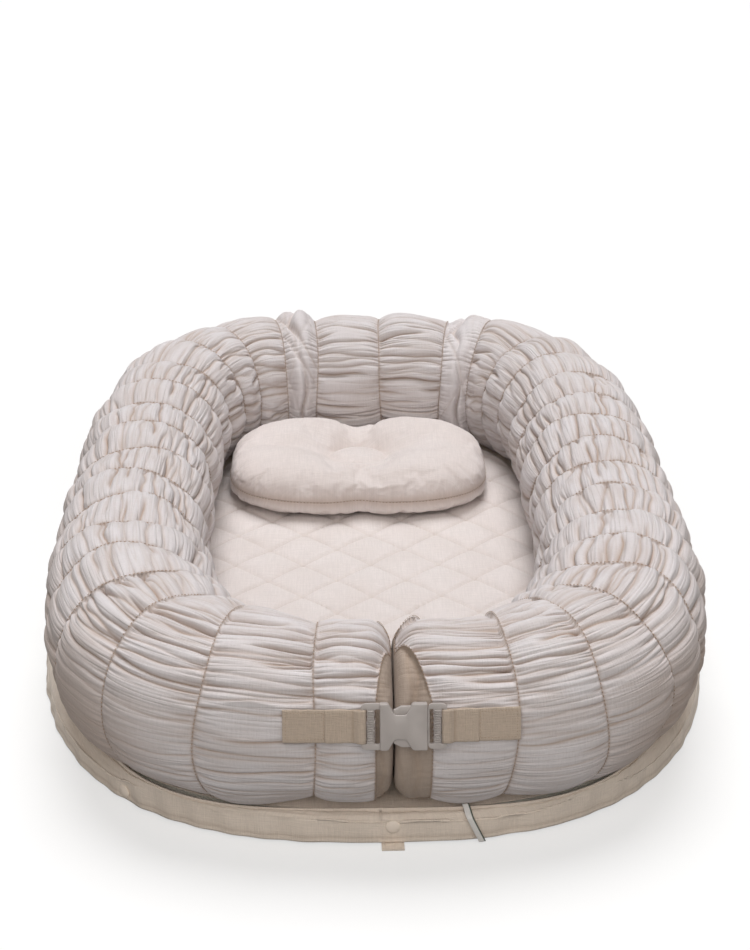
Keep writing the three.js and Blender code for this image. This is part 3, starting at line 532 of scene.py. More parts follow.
STYLES = {
    "cap": Style(1.1 * MM, False, 2.5 * MM, 1.0 * MM, 0.4, "end_linen"),
    "joint": Style(1.1 * MM, True, 6.5 * MM, 3.2 * MM, 0.4, "loose_gauze"),
    "foot": Style(2.3 * MM, True, 4.2 * MM, 2.3 * MM, 0.36, "gauze"),
    "side": Style(2.3 * MM, False, 6.5 * MM, 1.8 * MM, 0.42, "gauze"),
    "head": Style(2.3 * MM, True, 9.5 * MM, 2.4 * MM, 0.46, "gauze"),
}


class Channel(NamedTuple):
    """Where the points of one channel lie: round the tube, and between the channel's two seams."""
    angle: np.ndarray
    run: np.ndarray
    share: np.ndarray
    to_near: np.ndarray
    to_far: np.ndarray
    length: float


CREASE_EDGE = 0.5 * MM
DEEPEST = 14 * MM
MOST_OUT, LOOSE_MOST_OUT = 8 * MM, 11 * MM
JOINT_RISE = {"cover_joint_left": 9 * MM, "cover_joint_right": 3 * MM}


def cusp(distance, width):
    """A crease's section: sharp at its bottom, with rounded shoulders."""
    away = np.sqrt(distance ** 2 + CREASE_EDGE ** 2) - CREASE_EDGE
    return 0.6 * np.exp(-away / width) + 0.4 * np.exp(-away / (3 * width))


def creases(rng, ruching, channel, girth):
    """Depth of the folds that run from seam to seam, and the painted shade along the bottom of each."""
    across, share = channel.run, channel.share
    depth = np.zeros_like(across)
    painted_shade = np.zeros_like(across)
    place = rng.uniform(0, ruching.pitch)
    while place < girth - 0.4 * ruching.pitch:
        size = rng.uniform(0.3, 1.25)
        kind = rng.uniform()
        reach = rng.uniform(0.25, 0.85)
        if kind < ruching.through:
            strength = 1 - rng.uniform(0.0, 0.45) * np.sin(math.pi * share)
        elif kind < (1 + ruching.through) / 2:
            strength = 1 - smoothstep(reach - 0.25, reach + 0.12, share)
        else:
            strength = 1 - smoothstep(reach - 0.25, reach + 0.12, 1 - share)
        slant = rng.normal(0, ruching.slant * 0.5)
        wave = rng.uniform(0.5, 1.6)
        wander = ruching.wander * np.sin(2 * math.pi * (share * wave + rng.uniform()))
        middle = place + slant * (share - 0.5) + wander
        distance = short_way(across - middle, girth)
        sides = ruching.width * rng.uniform(0.55, 1.9, 2)
        width = np.where(distance < 0, sides[0], sides[1])
        depth += ruching.depth * size * strength * cusp(distance, width)
        # Painted shade along the bottom of the crease
        line = np.exp(-np.abs(distance) / (0.4 * MM + 0.5 * ruching.width))
        painted_shade = np.maximum(painted_shade, min(1, size) * strength * line)
        place += ruching.pitch * rng.uniform(0.35, 1.65)
    return depth, painted_shade


def gathers(rng, across, away, girth, pitch, deep):
    """Small tight puckers that die out away from a seam, and the painted shade in the deepest of them."""
    places = np.cumsum(pitch * rng.uniform(0.5, 1.5, round(girth / pitch)))
    places *= girth / places[-1]
    reach = rng.uniform(4, 18, len(places)) * MM
    size = rng.uniform(0.3, 1.2, len(places))
    depth = np.zeros_like(across)
    nearest = np.searchsorted(places, across) % len(places)
    for step in (-1, 0):
        index = (nearest + step) % len(places)
        distance = short_way(across - places[index], girth)
        depth += size[index] * np.exp(-(away / reach[index]) ** 1.5) * cusp(distance, pitch * 0.2)
    return depth * deep, np.clip(depth - 0.5, 0, 1)


def lumps(rng, along, turn, amount, shortest=60 * MM, longest=150 * MM, waves=9):
    """Low uneven swellings of the wadding."""
    height = np.zeros_like(along)
    for _ in range(waves):
        period = rng.uniform(shortest, longest)
        round_it = rng.integers(-4, 5)
        height += np.sin(2 * math.pi * (along / period + round_it * turn + rng.uniform()))
    return height * amount / math.sqrt(waves)


def crumples(rng, channel, number_of, depth, width, slant):
    """Folds that run round the tube, across its length, for the plain panels, and the painted shade in them."""
    along, across, spread = channel.to_near, channel.run, channel.length
    low, high = across.min(), across.max()
    total = np.zeros_like(along)
    painted_shade = np.zeros_like(along)
    for _ in range(number_of):
        start = rng.uniform(low, high)
        run = rng.uniform(0.15, 0.45) * (high - low)
        middle = rng.uniform(0.08, 0.92) * spread
        lean = rng.normal(0, slant)
        wave = 2.0 * MM * np.sin(2 * math.pi * ((across - start) / (60 * MM) + rng.uniform()))
        centre = middle + lean * (across - start) + wave
        window = np.exp(-((across - start) / run) ** 4)
        size = rng.uniform(0.4, 1.2)
        fall = size * window * cusp(along - centre, width * rng.uniform(0.7, 1.6))
        total += depth * fall
        painted_shade = np.maximum(painted_shade, fall ** 2)
    return total, painted_shade


# Bolster

class Panel(NamedTuple):
    node: str
    piece: str
    style: str
    lengths: tuple


class Tube:
    """The bolster's tube: where its seams lie and where its surface is."""

    def __init__(self, bolster):
        self.sizes = bolster
        self.ring = Ring(bolster.ring_half_width, bolster.ring_half_length, bolster.ring_squareness)
        self.start = bolster.ends_meet + bolster.end_gap / 2
        self.length = self.ring.length - bolster.end_gap
        self.girth = math.pi * (bolster.tube_half_width + bolster.tube_half_height)
        joint_right, joint_left = 48 * MM, 39 * MM
        foot_right = tuple(share * 158 * MM for share in (0.36, 0.34, 0.3))
        foot_left = tuple(share * 230 * MM for share in (0.26, 0.24, 0.31, 0.19))
        head = (73.5 * MM, 73.5 * MM)
        caps = (26 * MM, 16 * MM)
        plain = sum((*foot_right, *foot_left, *head, *caps, joint_right, joint_left))
        side = ((self.length - plain) / 2 / bolster.side_channels,) * bolster.side_channels
        self.panels = (
            Panel("end_cap_right", "bolster_end_right", "cap", caps[:1]),
            Panel("cover_foot_right", "bolster_foot_right", "foot", foot_right),
            Panel("cover_side_right", "bolster_side_right", "side", side),
            Panel("cover_joint_right", "bolster_joint_right", "joint", (joint_right,)),
            Panel("cover_head", "bolster_head", "head", head),
            Panel("cover_joint_left", "bolster_joint_left", "joint", (joint_left,)),
            Panel("cover_side_left", "bolster_side_left", "side", side),
            Panel("cover_foot_left", "bolster_foot_left", "foot", foot_left),
            Panel("end_cap_left", "bolster_end_left", "cap", caps[1:]),
        )
        lengths = [each for panel in self.panels for each in panel.lengths]
        self.seams = np.concatenate([[0], np.cumsum(lengths)])
        rng = np.random.default_rng(11)
        self.phases = rng.uniform(0, 2 * math.pi, (len(self.seams), 3))
        drawn = [STYLES[panel.style].draw for panel in self.panels for _ in panel.lengths]
        self.draws = [drawn[0], *((one + other) / 2 for one, other in zip(drawn, drawn[1:])), drawn[-1]]
        self.draws[1] = self.draws[-2] = STYLES["cap"].draw

    def draw(self, index, run):
        """How far a seam draws the cloth in, at a run round the tube."""
        uneven = np.sin(run / (38 * MM) + self.phases[index, 0]) * np.sin(run / (23 * MM))
        return self.draws[index] * (1 + 0.14 * uneven)

    def seam(self, index, angle):
        """Station of a seam where it passes an angle round the tube: it wanders a little."""
        last = len(self.seams) - 1
        if index in (0, last):
            return np.full_like(angle, self.seams[index])
        if index in (1, last - 1):
            # The end cap is a round of cloth: its seam runs out to the gap over the top of the tube
            top_turn, side_turn = 0.21, 0.8
            narrowest, spread = 0.05, 1.02 if index == 1 else 0.8
            below_top = np.clip((np.abs(angle - math.pi / 2) - top_turn) / side_turn, 0, 1)
            share = narrowest + spread * np.sqrt(below_top)
            end = self.seams[0 if index == 1 else last]
            return end + (self.seams[index] - end) * share
        wander = sum(
            size * MM * np.sin(order * angle + phase)
            for size, order, phase in zip((1.6, 1.1, 0.6), (1, 2, 4), self.phases[index]))
        return self.seams[index] + wander

    def end_inset(self, station, angle):
        """The two ends of the tube are rounded, most of all on top and at the bottom."""
        up = np.sin(angle)
        most = 0.4 + 0.6 * smoothstep(0.2, 0.95, up) + 0.4 * smoothstep(-0.2, -0.9, up)
        rounding = self.sizes.end_rounding * most
        away = np.minimum(station, self.length - station)
        share = np.clip(1 - away / (0.8 * rounding), 0, 1)
        return rounding * (1 - np.sqrt(1 - share ** 2))

    def corner(self, place):
        """How near a place on the ring is to a corner of its foot end, where the cloth bunches: 1 at the corner."""
        across = np.abs(place[:, 0]) / self.sizes.ring_half_width
        along = -place[:, 1] / self.sizes.ring_half_length
        near = (2 * across * along / (across ** 2 + along ** 2)) ** 3
        return np.where(along > 0, near, 0)

    def point(self, station, angle, inset):
        """World points at an inset inside the tube, which sags softly onto the base."""
        sizes = self.sizes
        place, outward = self.ring.at(self.start + station)
        corner = self.corner(place)
        inwards = np.maximum(0, -np.cos(angle)) * smoothstep(-0.6, 0, np.sin(angle))
        fuller = sizes.corner_fullness * corner * inwards
        across = (sizes.tube_half_width - inset) * np.cos(angle) - fuller
        height = sizes.tube_middle + (sizes.tube_half_height - inset) * np.sin(angle)
        height = height + sizes.corner_rise * corner * np.maximum(0, np.sin(angle))
        soft = 1.5 * MM
        lift = soft * np.logaddexp(0, (height - sizes.seat) / soft)
        return np.column_stack([place + outward * across[:, None], sizes.seat + lift])


def round_the_tube(share):
    """Turn of the tube, from its underside; the points lie closer together on top."""
    return share + 0.45 * np.sin(2 * math.pi * share) / (2 * math.pi)


def between_seams(share):
    """Share of a channel; the points lie closer together at its seams."""
    return share - 0.5 * np.sin(2 * math.pi * share) / (2 * math.pi)


def fold_end(rng, channel):
    """Low folds in the plain linen of an end cap, with faint painted shade in them."""
    depth, dark = crumples(rng, channel, 11, 2.2 * MM, 3.0 * MM, 0.08)
    return depth, 0.4 * dark


def fold_joint(rng, channel, proud):
    """Loose, crumpled cloth standing proud of the tube, with one deep fold wandering down its middle, all with
    painted shade.
    """
    depth, dark = crumples(rng, channel, 12, 2.6 * MM, 1.6 * MM, 0.35)
    broad, _ = crumples(rng, channel, 6, 3.0 * MM, 6.0 * MM, 0.25)
    run = channel.run
    middle = channel.length * (0.55 + 0.16 * np.sin(run / (31 * MM)) + 0.07 * np.sin(run / (9 * MM)))
    fall = cusp(channel.to_near - middle, 2.2 * MM) * (0.8 + 0.4 * np.sin(run / (17 * MM)))
    depth = depth + broad + 9 * MM * fall - proud * np.sin(math.pi * channel.share)
    return depth, 0.6 * np.maximum(dark, (fall ** 3).clip(0, 1))


def fold_ruched(rng, channel, style, girth):
    """Ruched gauze with painted shade in its folds; at the foot they are deep on top and shallow where wadding
    fills them.
    """
    depth, dark = creases(rng, RUCHING[style], channel, girth)
    if style == "foot":
        on_top = smoothstep(0.3, 0.95, np.sin(channel.angle))
        broad, shade = creases(rng, RUCHING["foot_broad"], channel, girth)
        depth = depth * (0.55 + 1.05 * on_top) + broad * on_top
        dark = np.maximum(dark, shade * on_top)
    return depth, dark


def sew_channel(rng, tube, panel, channel, first):
    """How far a channel's points lie inside the tube, and their painted shade; first is its near seam's number."""
    style = STYLES[panel.style]
    away = np.minimum(channel.to_near, channel.to_far)
    arch = np.sin(math.pi * channel.share) ** style.roundness
    if panel.style == "cap":
        # Only the seam with the gauze is gathered: the other edge lies in the gap
        away = channel.to_far if first == 0 else channel.to_near
        arch = 1 - np.exp(-away / (4 * MM))
        depth, dark = fold_end(rng, channel)
    elif panel.style == "joint":
        depth, dark = fold_joint(rng, channel, JOINT_RISE[panel.node])
    else:
        depth, dark = fold_ruched(rng, channel, panel.style, tube.girth)
    small, small_painted_shade = gathers(rng, channel.run, away, tube.girth, 4.2 * MM, style.gather)
    share = channel.share
    drawn = (1 - share) * tube.draw(first, channel.run) + share * tube.draw(first + 1, channel.run)
    fixed = 1 - np.exp(-away / (1.0 * MM))
    pinch = 0.9 * MM * np.exp(-away / (1.2 * MM))
    inset = drawn * (1 - arch) + pinch + (depth + small) * fixed
    # Painted shade in the folds and puckers, and in the groove along each seam
    return inset, np.maximum.reduce([dark * fixed, 0.7 * small_painted_shade, 0.6 * np.exp(-away / (0.9 * MM))])


def sew_panel(tube, panel, first, seed):
    """One panel of the cover, sewn in channels from seam number first on. Gives the stitches of its seams."""
    sizes, style = tube.sizes, STYLES[panel.style]
    rng = np.random.default_rng(seed)
    rows = [max(12, round(each / style.spacing)) for each in panel.lengths]
    starts = np.concatenate([[0], np.cumsum(rows)[:-1]])
    columns = sizes.fine_columns if style.fine else sizes.columns
    mesh, across_share, along_share = cloth_grid(columns, sum(rows))
    turn = round_the_tube(across_share)
    angle = 2 * math.pi * turn - math.pi / 2
    run = turn * tube.girth
    row = along_share * sum(rows)
    number_of = np.clip(np.searchsorted(starts, row + 1e-6, side="right") - 1, 0, len(rows) - 1)
    station, inset, painted_shade = np.zeros((3, len(row)))
    for index, span_length in enumerate(panel.lengths):
        here = number_of == index
        share = between_seams(np.clip((row[here] - starts[index]) / rows[index], 0, 1))
        near, far = (tube.seam(first + index + step, angle[here]) for step in (0, 1))
        to_near, to_far = share * (far - near), (1 - share) * (far - near)
        station[here] = near + to_near
        channel = Channel(angle[here], run[here], share, to_near, to_far, span_length)
        inset[here], painted_shade[here] = sew_channel(rng, tube, panel, channel, first + index)
    uneven = lumps(np.random.default_rng(5), station, turn, 1.7 * MM)
    inset = np.minimum(inset, DEEPEST) + uneven + tube.end_inset(station, angle)
    # The cover swells at the sides; at the foot end the straps hold it in
    aside = smoothstep(0.55, 0.85, np.abs(tube.ring.at(tube.start + station)[0][:, 0]) / sizes.ring_half_width)
    most = LOOSE_MOST_OUT if panel.node == "cover_joint_left" else MOST_OUT
    inset = np.maximum(inset - sizes.swell * aside * np.maximum(0, np.cos(angle)), -most)
    strap_angle, strap_reach = math.radians(20), 0.26
    under_strap = (1 - aside) * np.exp(-((angle - strap_angle) / strap_reach) ** 6)
    inset = np.maximum(inset, (LOOSE_MOST_OUT + 0.6 * MM) * under_strap - LOOSE_MOST_OUT)
    # Painted shade: low on the outside of the sides the cloth is drawn warmer and darker, as if in shade there
    low = smoothstep(0.85, -0.2, np.sin(angle)) * smoothstep(0, 0.4, np.cos(angle))
    painted_shade = np.maximum(painted_shade, 0.65 * aside * low)
    points = tube.point(station, angle, inset)
    # How deep to look for the outward side of a seam
    probe = 5 * MM
    stitches = []
    for start in starts[0 if first else 1:]:
        seam = np.flatnonzero(np.abs(row - start) < 1e-3)
        seam = seam[np.argsort(run[seam])]
        outward = points[seam] - tube.point(station[seam], angle[seam], inset[seam] + probe)
        raised = points[seam] + outward / probe * 0.8 * MM
        stitches.append(stitches_along(raised, outward, STITCH_PITCH))
    # The gauze is gathered, so more of it runs round the tube than the tube's own girth
    lay(mesh, points, np.column_stack([run * 1.35, station]), painted_shade)
    add_piece(panel.piece, closed(mesh), style.material, [panel.node])
    return stitches


def stuff_tube(tube):
    """The wadding inside the cover: one soft tube."""
    mesh, across_share, along_share = cloth_grid(96, 360)
    angle = 2 * math.pi * across_share - math.pi / 2
    station = 3 * MM + along_share * (tube.length - 6 * MM)
    uneven = lumps(np.random.default_rng(8), station, across_share, 1 * MM, 20 * MM, 60 * MM)
    inset = 18 * MM + tube.end_inset(station, angle) + uneven
    points = tube.point(station, angle, inset)
    lay(mesh, points, np.column_stack([across_share * tube.girth, station]))
    piece = add_piece("bolster_wadding", closed(mesh), "wadding", ["bolster_fill"])


# Pads: the mat, the foam and the two panels of the base

def square_to_outline(across_share, along_share, reach, half_width, half_length):
    """Spread a square grid over a rounded outline. Gives points, the share out to the rim and the angle."""
    left = 2 * across_share - 1
    down = 2 * along_share - 1
    out = np.maximum(np.abs(left), np.abs(down))
    safe = np.maximum(out, 1e-9)
    angle = np.arctan2(down / safe * half_length, left / safe * half_width)
    distance = out * reach(angle)
    return np.column_stack([distance * np.cos(angle), distance * np.sin(angle)]), out, angle


def cut_pad(outline, columns, rows, top, bottom, painted_shade=None):
    """A pad with a flat underside: top gives its height from points and their distance to the rim, and tint, if
    given, the painted shade at its points.
    """
    mesh, across_share, along_share = cloth_grid(columns, rows)
    half_width, half_length = np.abs(outline).max(axis=0)
    flat, out, angle = square_to_outline(
        across_share, along_share, lambda angle: polar(outline, angle), half_width, half_length)
    from_rim = (1 - out) * polar(outline, angle)
    lay(mesh, np.column_stack([flat, top(flat, from_rim)]), flat, painted_shade(flat) if painted_shade else None)
    with editing(mesh) as bm:
        rim = [edge for edge in bm.edges if edge.is_boundary]
        wall = bmesh.ops.extrude_edge_only(bm, edges=rim)["geom"]
        for vertex in (item for item in wall if isinstance(item, bmesh.types.BMVert)):
            vertex.co.z = bottom
    closed(mesh)
    # The weave lies flat across the underside too
    set_weave(mesh, points_of(mesh)[:, :2])
    mesh.set_sharp_from_angle(angle=math.radians(50))
    return mesh


def rolled_edge(from_rim, radius):
    """How far a rounded edge drops below the face."""
    share = np.clip(1 - from_rim / radius, 0, 1)
    return radius * (1 - np.sqrt(1 - share ** 2))


def quilt_lines(mat, flat, width):
    """How near each point is to a quilting line: 1 on the line."""
    ways = ((flat[:, 0] + flat[:, 1]) / mat.quilt, (flat[:, 0] - flat[:, 1]) / mat.quilt)
    away = [np.abs((each + 0.5) % 1 - 0.5) * mat.quilt / math.sqrt(2) for each in ways]
    return ways, sum(np.exp(-each / width) for each in away)


def quilt_height(mat, seat, flat, from_rim):
    """Top of the mat: a low crown with sewn diamonds."""
    (one, other), lines = quilt_lines(mat, flat, 1.6 * MM)
    diamonds = np.abs(np.sin(math.pi * one) * np.sin(math.pi * other))
    puff = mat.puff * diamonds ** 0.45
    half_width = 175 * MM
    rise = mat.crown * (1 - np.clip(1 - from_rim / (mat.rim_share * half_width), 0, 1) ** 2)
    soft = lumps(np.random.default_rng(21), flat[:, 1], flat[:, 0] / (2 * half_width), 0.35 * MM)
    quilting = (puff - 1.5 * MM * lines) * np.clip(from_rim / (20 * MM), 0, 1)
    binding = rolled_edge(from_rim, 7 * MM) + 0.5 * MM
    return seat + mat.edge + rise + quilting + soft - binding


def linen_panel(outline, bottom, thickness):
    """A flat linen panel with a slightly rounded edge."""
    def top(flat, from_rim):
        return bottom + thickness - rolled_edge(from_rim, 0.5 * MM) * 0.5
    return cut_pad(outline, 60, 84, top, bottom)


# Skirt

# Where the top, the shoulder and the wall start in the cloth's grid, and how much of it each takes
SKIRT_PARTS = ((0, 0.5), (0.5, 0.2), (0.7, 0.3))
SKIRT_FOLDS = 200


def skirt_folds(rng, run, along, gap, around):
    """Depth of the folds in the skirt's top, and the painted shade in them: most are short and sharp, some long and
    soft.
    """
    depth = np.zeros_like(run)
    painted_shade = np.zeros_like(run)
    for index in range(SKIRT_FOLDS):
        long = index % 9 == 0
        middle = rng.uniform(0, around)
        reach = rng.uniform(110, 190) * MM if long else rng.uniform(25, 90) * MM
        distance = short_way(run - middle, around)
        window = np.exp(-(distance / reach) ** 4)
        line = rng.uniform(0.1, 0.95) * gap + rng.normal(0, 0.03 if long else 0.07) * distance \
            + 2.0 * MM * np.sin(distance / (30 * MM) + rng.uniform(0, 6))
        width = rng.uniform(3.5, 6.5) * MM if long else rng.uniform(1.2, 3.2) * MM
        fall = window * cusp(along - line, width) * (1.7 if long else rng.uniform(0.3, 1.0))
        depth += 2.0 * MM * fall
        painted_shade = np.maximum(painted_shade, (fall ** 2).clip(0, 1) * 0.55)
    return depth, painted_shade


def skirt_cloth(tube, base):
    """The linen skirt as one ring of cloth: seam, soft fold, rounded shoulder, wall and hem.

    Gives its mesh, its area and its length round the base.
    """
    sizes = tube.sizes
    outer_ring = Ring(base.half_width, base.half_length, base.squareness)
    rng = np.random.default_rng(31)
    mesh, round_share, down = cloth_grid(760, 52)
    inner, inner_out = tube.ring.at(round_share * tube.ring.length)
    inner = inner + inner_out * base.skirt_seam
    outer, outward = outer_ring.at(round_share * outer_ring.length)
    run = round_share * outer_ring.length
    gap = np.linalg.norm(outer - inner, axis=1)
    fullness = np.clip(gap / (32 * MM), 0, 1)
    top_share, turn_share, wall_share = (
        np.clip((down - start) / part, 0, 1) for start, part in SKIRT_PARTS)
    # The shoulder is crisp at the middle of the foot end and soft elsewhere
    softness = 4 * MM + 10 * MM * smoothstep(60 * MM, 200 * MM, np.abs(outer[:, 0]))
    softness = np.minimum(softness * (1 + 0.3 * np.sin(16 * math.pi * round_share)), 0.8 * gap)
    corner = np.minimum(softness, 11 * MM)
    along = top_share * (gap - softness) + softness * np.sin(turn_share * math.pi / 2)
    swells = 5
    wave = 1 + 0.22 * np.sin(2 * math.pi * swells * round_share)
    lift = fullness * base.skirt_fold * np.sin(math.pi * np.clip(along / gap, 0, 1) ** 0.8) * wave
    wall_height = sizes.seat + base.skirt_cloth - corner - base.hem
    turned_down = corner * (1 - np.cos(turn_share * math.pi / 2))
    height = sizes.seat + base.skirt_cloth + lift - turned_down - wall_share * wall_height
    depth, painted_shade = skirt_folds(rng, run, along, gap, outer_ring.length)
    on_top = 1 - smoothstep(0, 0.1, wall_share)
    held = smoothstep(0, 0.08, top_share)
    small, small_painted_shade = gathers(rng, run, along, outer_ring.length, 6 * MM, 1.2 * MM)
    height = height - (depth * fullness + small * on_top) * on_top * held
    # Painted shade in the folds and puckers of the top
    painted_shade = np.maximum(painted_shade, small_painted_shade * 0.4) * fullness * on_top
    # The wall ripples a little, has a stitched line above its hem, and leans in where its shoulder is soft
    ripple = sum(np.sin(2 * math.pi * (turns * round_share + rng.uniform())) for turns in rng.integers(18, 90, 9))
    ripple = ripple * 0.3 * MM
    hem_width = 4.5 * MM
    hem_line = cusp(height - (base.hem + hem_width), 0.6 * MM) * (wall_share > 0)
    lean = -2.5 * MM * (1 - wall_share) * smoothstep(4 * MM, 12 * MM, softness)
    push = (ripple * np.sin(math.pi * wall_share * 0.8) - 0.4 * MM * hem_line + lean) * (wall_share > 0) \
        + lean * (wall_share == 0) * smoothstep(0.3, 1, along / gap)
    plan = inner + (outer - inner) * (along / gap)[:, None] + outward * push[:, None]
    # Painted shade in the groove of the stitched line above the hem
    painted_shade = np.maximum(painted_shade, 0.5 * hem_line)
    cloth_run = along + corner * turn_share * 0.6 + wall_share * wall_height
    lay(mesh, np.column_stack([plan, height]), np.column_stack([run, cloth_run]), painted_shade)
    with editing(mesh) as bm:
        bmesh.ops.remove_doubles(bm, verts=bm.verts, dist=WELD)
        bmesh.ops.recalc_face_normals(bm, faces=bm.faces)
        if sum(face.normal.z * face.calc_area() for face in bm.faces) < 0:
            bmesh.ops.reverse_faces(bm, faces=bm.faces)
        area = sum(face.calc_area() for face in bm.faces)
    mesh.shade_smooth()
    return mesh, area, outer_ring.length


# Pillow

def sunken_lobes(pillow, flat, distance, rim_share):
    """Upper side of the pillow: a full rounded edge, four lobes with valleys between, and a sunken, domed middle.

    Gives its height, how deep in a valley each point lies, and how far to the back it lies.
    """
    ring_radius = pillow.hollow_radius
    from_ring = distance - ring_radius
    bulge = (1 - rim_share ** 3.8).clip(0) ** 0.46
    back = np.clip(0.5 + flat[:, 1] / (2.4 * ring_radius), 0, 1)
    front_valley = np.exp(-(flat[:, 0] / ((26 - 14 * back) * MM + 0.14 * distance)) ** 2) * (0.55 + 0.45 * back)
    side_valley = 0.55 * np.exp(-(flat[:, 1] / (10 * MM + 0.12 * distance)) ** 2)
    valleys = np.maximum(front_valley, side_valley)
    reached = smoothstep(-4 * MM, 8 * MM, from_ring - 14 * MM * (1 - back))
    fade = 1 - smoothstep(0.55, 1.02, rim_share) * 0.6
    sunk = pillow.hollow * (0.6 + 0.55 * back) * np.exp(-(from_ring.clip(0) / (14 * MM)) ** 1.2)
    dome = 8.5 * MM * np.clip(1 - (distance / ring_radius) ** 2, 0, 1) ** 0.8
    height = (pillow.rise + 2 * MM) * bulge - sunk * smoothstep(1, 0.75, rim_share) + dome
    height = height - pillow.valley * valleys * reached * fade
    return np.maximum(height, pillow.rise * 0.12 * bulge), valleys, back


def pillow_half(pillow, upper, seed):
    """One panel of the pillow as cut and sewn, with puckers along its seam and round its hollow.

    Gives its mesh and how firmly the stitches hold each of its points.
    """
    mesh, across_share, along_share = cloth_grid(104, 72)
    rng = np.random.default_rng(seed)

    def reach(angle):
        drawn_in = pillow.dip * np.exp(-(np.cos(angle) / 0.22) ** 2)
        return rounded_reach(angle, pillow.half_length, pillow.half_depth, pillow.squareness) - drawn_in

    flat, out, angle = square_to_outline(across_share, along_share, reach, pillow.half_length, pillow.half_depth)
    rim_share = 1 - (1 - out) ** 1.7
    flat = flat * (rim_share / np.maximum(out, 1e-9))[:, None]
    distance = rim_share * reach(angle)
    seam_away = reach(angle) - distance
    ring_radius = pillow.hollow_radius
    from_ring = distance - ring_radius
    if upper:
        height, valleys, back = sunken_lobes(pillow, flat, distance, rim_share)
        bulge_out, bulge_reach = 3.5 * MM, 18 * MM
    else:
        height = -pillow.drop * (1 - rim_share ** 9).clip(0) ** 0.5
        bulge_out, bulge_reach = 6 * MM, 13 * MM
    push = bulge_out * np.sin(math.pi * np.clip(seam_away / bulge_reach, 0, 1))
    flat = flat + push[:, None] * np.column_stack([np.cos(angle), np.sin(angle)])
    around = math.pi * (pillow.half_length + pillow.half_depth)
    run = (angle + math.pi) / (2 * math.pi) * around
    puckers, pucker_painted_shade = gathers(rng, run, seam_away, around, 8 * MM, 2.0 * MM)
    puckers *= 1 - np.exp(-seam_away / (1 * MM))
    height = height - (puckers if upper else -0.6 * puckers)
    # Painted shade along the seam and in its puckers
    painted_shade = np.maximum(0.6 * np.exp(-seam_away / (1.2 * MM)), 0.4 * pucker_painted_shade)
    if upper:
        ring_away = np.abs(from_ring)
        ring_run = (angle + math.pi) * ring_radius
        ring_puckers, _ = gathers(rng, ring_run, ring_away, 2 * math.pi * ring_radius, 6 * MM, 1.0 * MM)
        height = height - (0.2 + 0.8 * back) * (ring_puckers + 4 * MM * np.exp(-ring_away / (2.5 * MM)))
        # Painted shade in the groove of the hollow's ring, mostly at its back
        painted_shade = np.maximum(painted_shade, 0.6 * back * np.exp(-ring_away / (3 * MM)))
    height = np.where(out > 1 - 1e-6, 0, height)
    points = np.column_stack([flat[:, 0] + pillow.middle_x, flat[:, 1] + pillow.middle_y, pillow.seam + height])
    lay(mesh, points, flat, painted_shade)
    held = np.clip(1 - seam_away / (3 * MM), 0, 1)
    if upper:
        on_ring = np.exp(-(from_ring / (3 * MM)) ** 2)
        in_valley = 0.35 * valleys ** 3 * (from_ring > 0)
        held = np.maximum.reduce([held, on_ring, 0.4 * (from_ring < 0), in_valley])
    else:
        held = np.maximum(held, 0.8 * smoothstep(0.85, 0.7, rim_share))
    return mesh, held


def joined(halves):
    """The pillow's two panels welded at their seam, and how firmly each point is held."""
    whole = bpy.data.meshes.new("pillow")
    with editing(whole) as bm:
        for mesh, _ in halves:
            bm.from_mesh(mesh)
        upper_count = len(halves[0][0].polygons)
        for index, face in enumerate(bm.faces):
            face.material_index = 0 if index < upper_count else 1
        hold = bm.verts.layers.float.new("hold")
        for vertex, value in zip(bm.verts, np.concatenate([held for _, held in halves])):
            vertex[hold] = value
        bmesh.ops.remove_doubles(bm, verts=bm.verts, dist=WELD)
        bmesh.ops.recalc_face_normals(bm, faces=bm.faces)
        tight = bm.edges.layers.float.new("crease_edge")
        for edge in bm.edges:
            edge[tight] = 1.0 if len({face.material_index for face in edge.link_faces}) == 2 else 0.0
        held = np.array([vertex[hold] for vertex in bm.verts])
    return whole, held


def one_panel(whole, index):
    """One of the pillow's two panels, with a mesh of its own."""
    mesh = whole.copy()
    with editing(mesh) as bm:
        bmesh.ops.delete(bm, geom=[face for face in bm.faces if face.material_index != index], context="FACES")
        for face in bm.faces:
            face.material_index = 0
    return closed(mesh)


def settle(piece, held, pressure, growth, frames, most):
    """Let the cloth find its own wrinkles under a light pressure; held is how firmly each point stays."""
    before = points_of(piece.data)
    group = piece.vertex_groups.new(name="held")
    for level in np.unique(np.round(held, 2)):
        group.add(np.flatnonzero(np.round(held, 2) == level).tolist(), float(level), "REPLACE")
    cloth = piece.modifiers.new("settling", "CLOTH")
    cloth.point_cache.frame_end = frames
    settings = cloth.settings
    settings.vertex_group_mass = group.name
    settings.quality = 6
    settings.mass = 0.2
    settings.tension_stiffness = 12
    settings.compression_stiffness = 8
    settings.shear_stiffness = 4
    settings.bending_stiffness = 0.05
    settings.use_pressure = True
    settings.uniform_pressure_force = pressure
    settings.shrink_min = -growth
    settings.effector_weights.gravity = 0
    cloth.collision_settings.use_collision = False
    scene = bpy.context.scene
    for now in range(1, frames + 1):
        scene.frame_set(now)
    settled = points_of(piece.evaluated_get(bpy.context.evaluated_depsgraph_get()).data)
    piece.modifiers.remove(cloth)
    piece.vertex_groups.remove(group)
    scene.frame_set(1)
    move = settled - before
    far = np.linalg.norm(move, axis=1)
    return before + move * np.minimum(1, most / np.maximum(far, 1e-9))[:, None]


# Thread

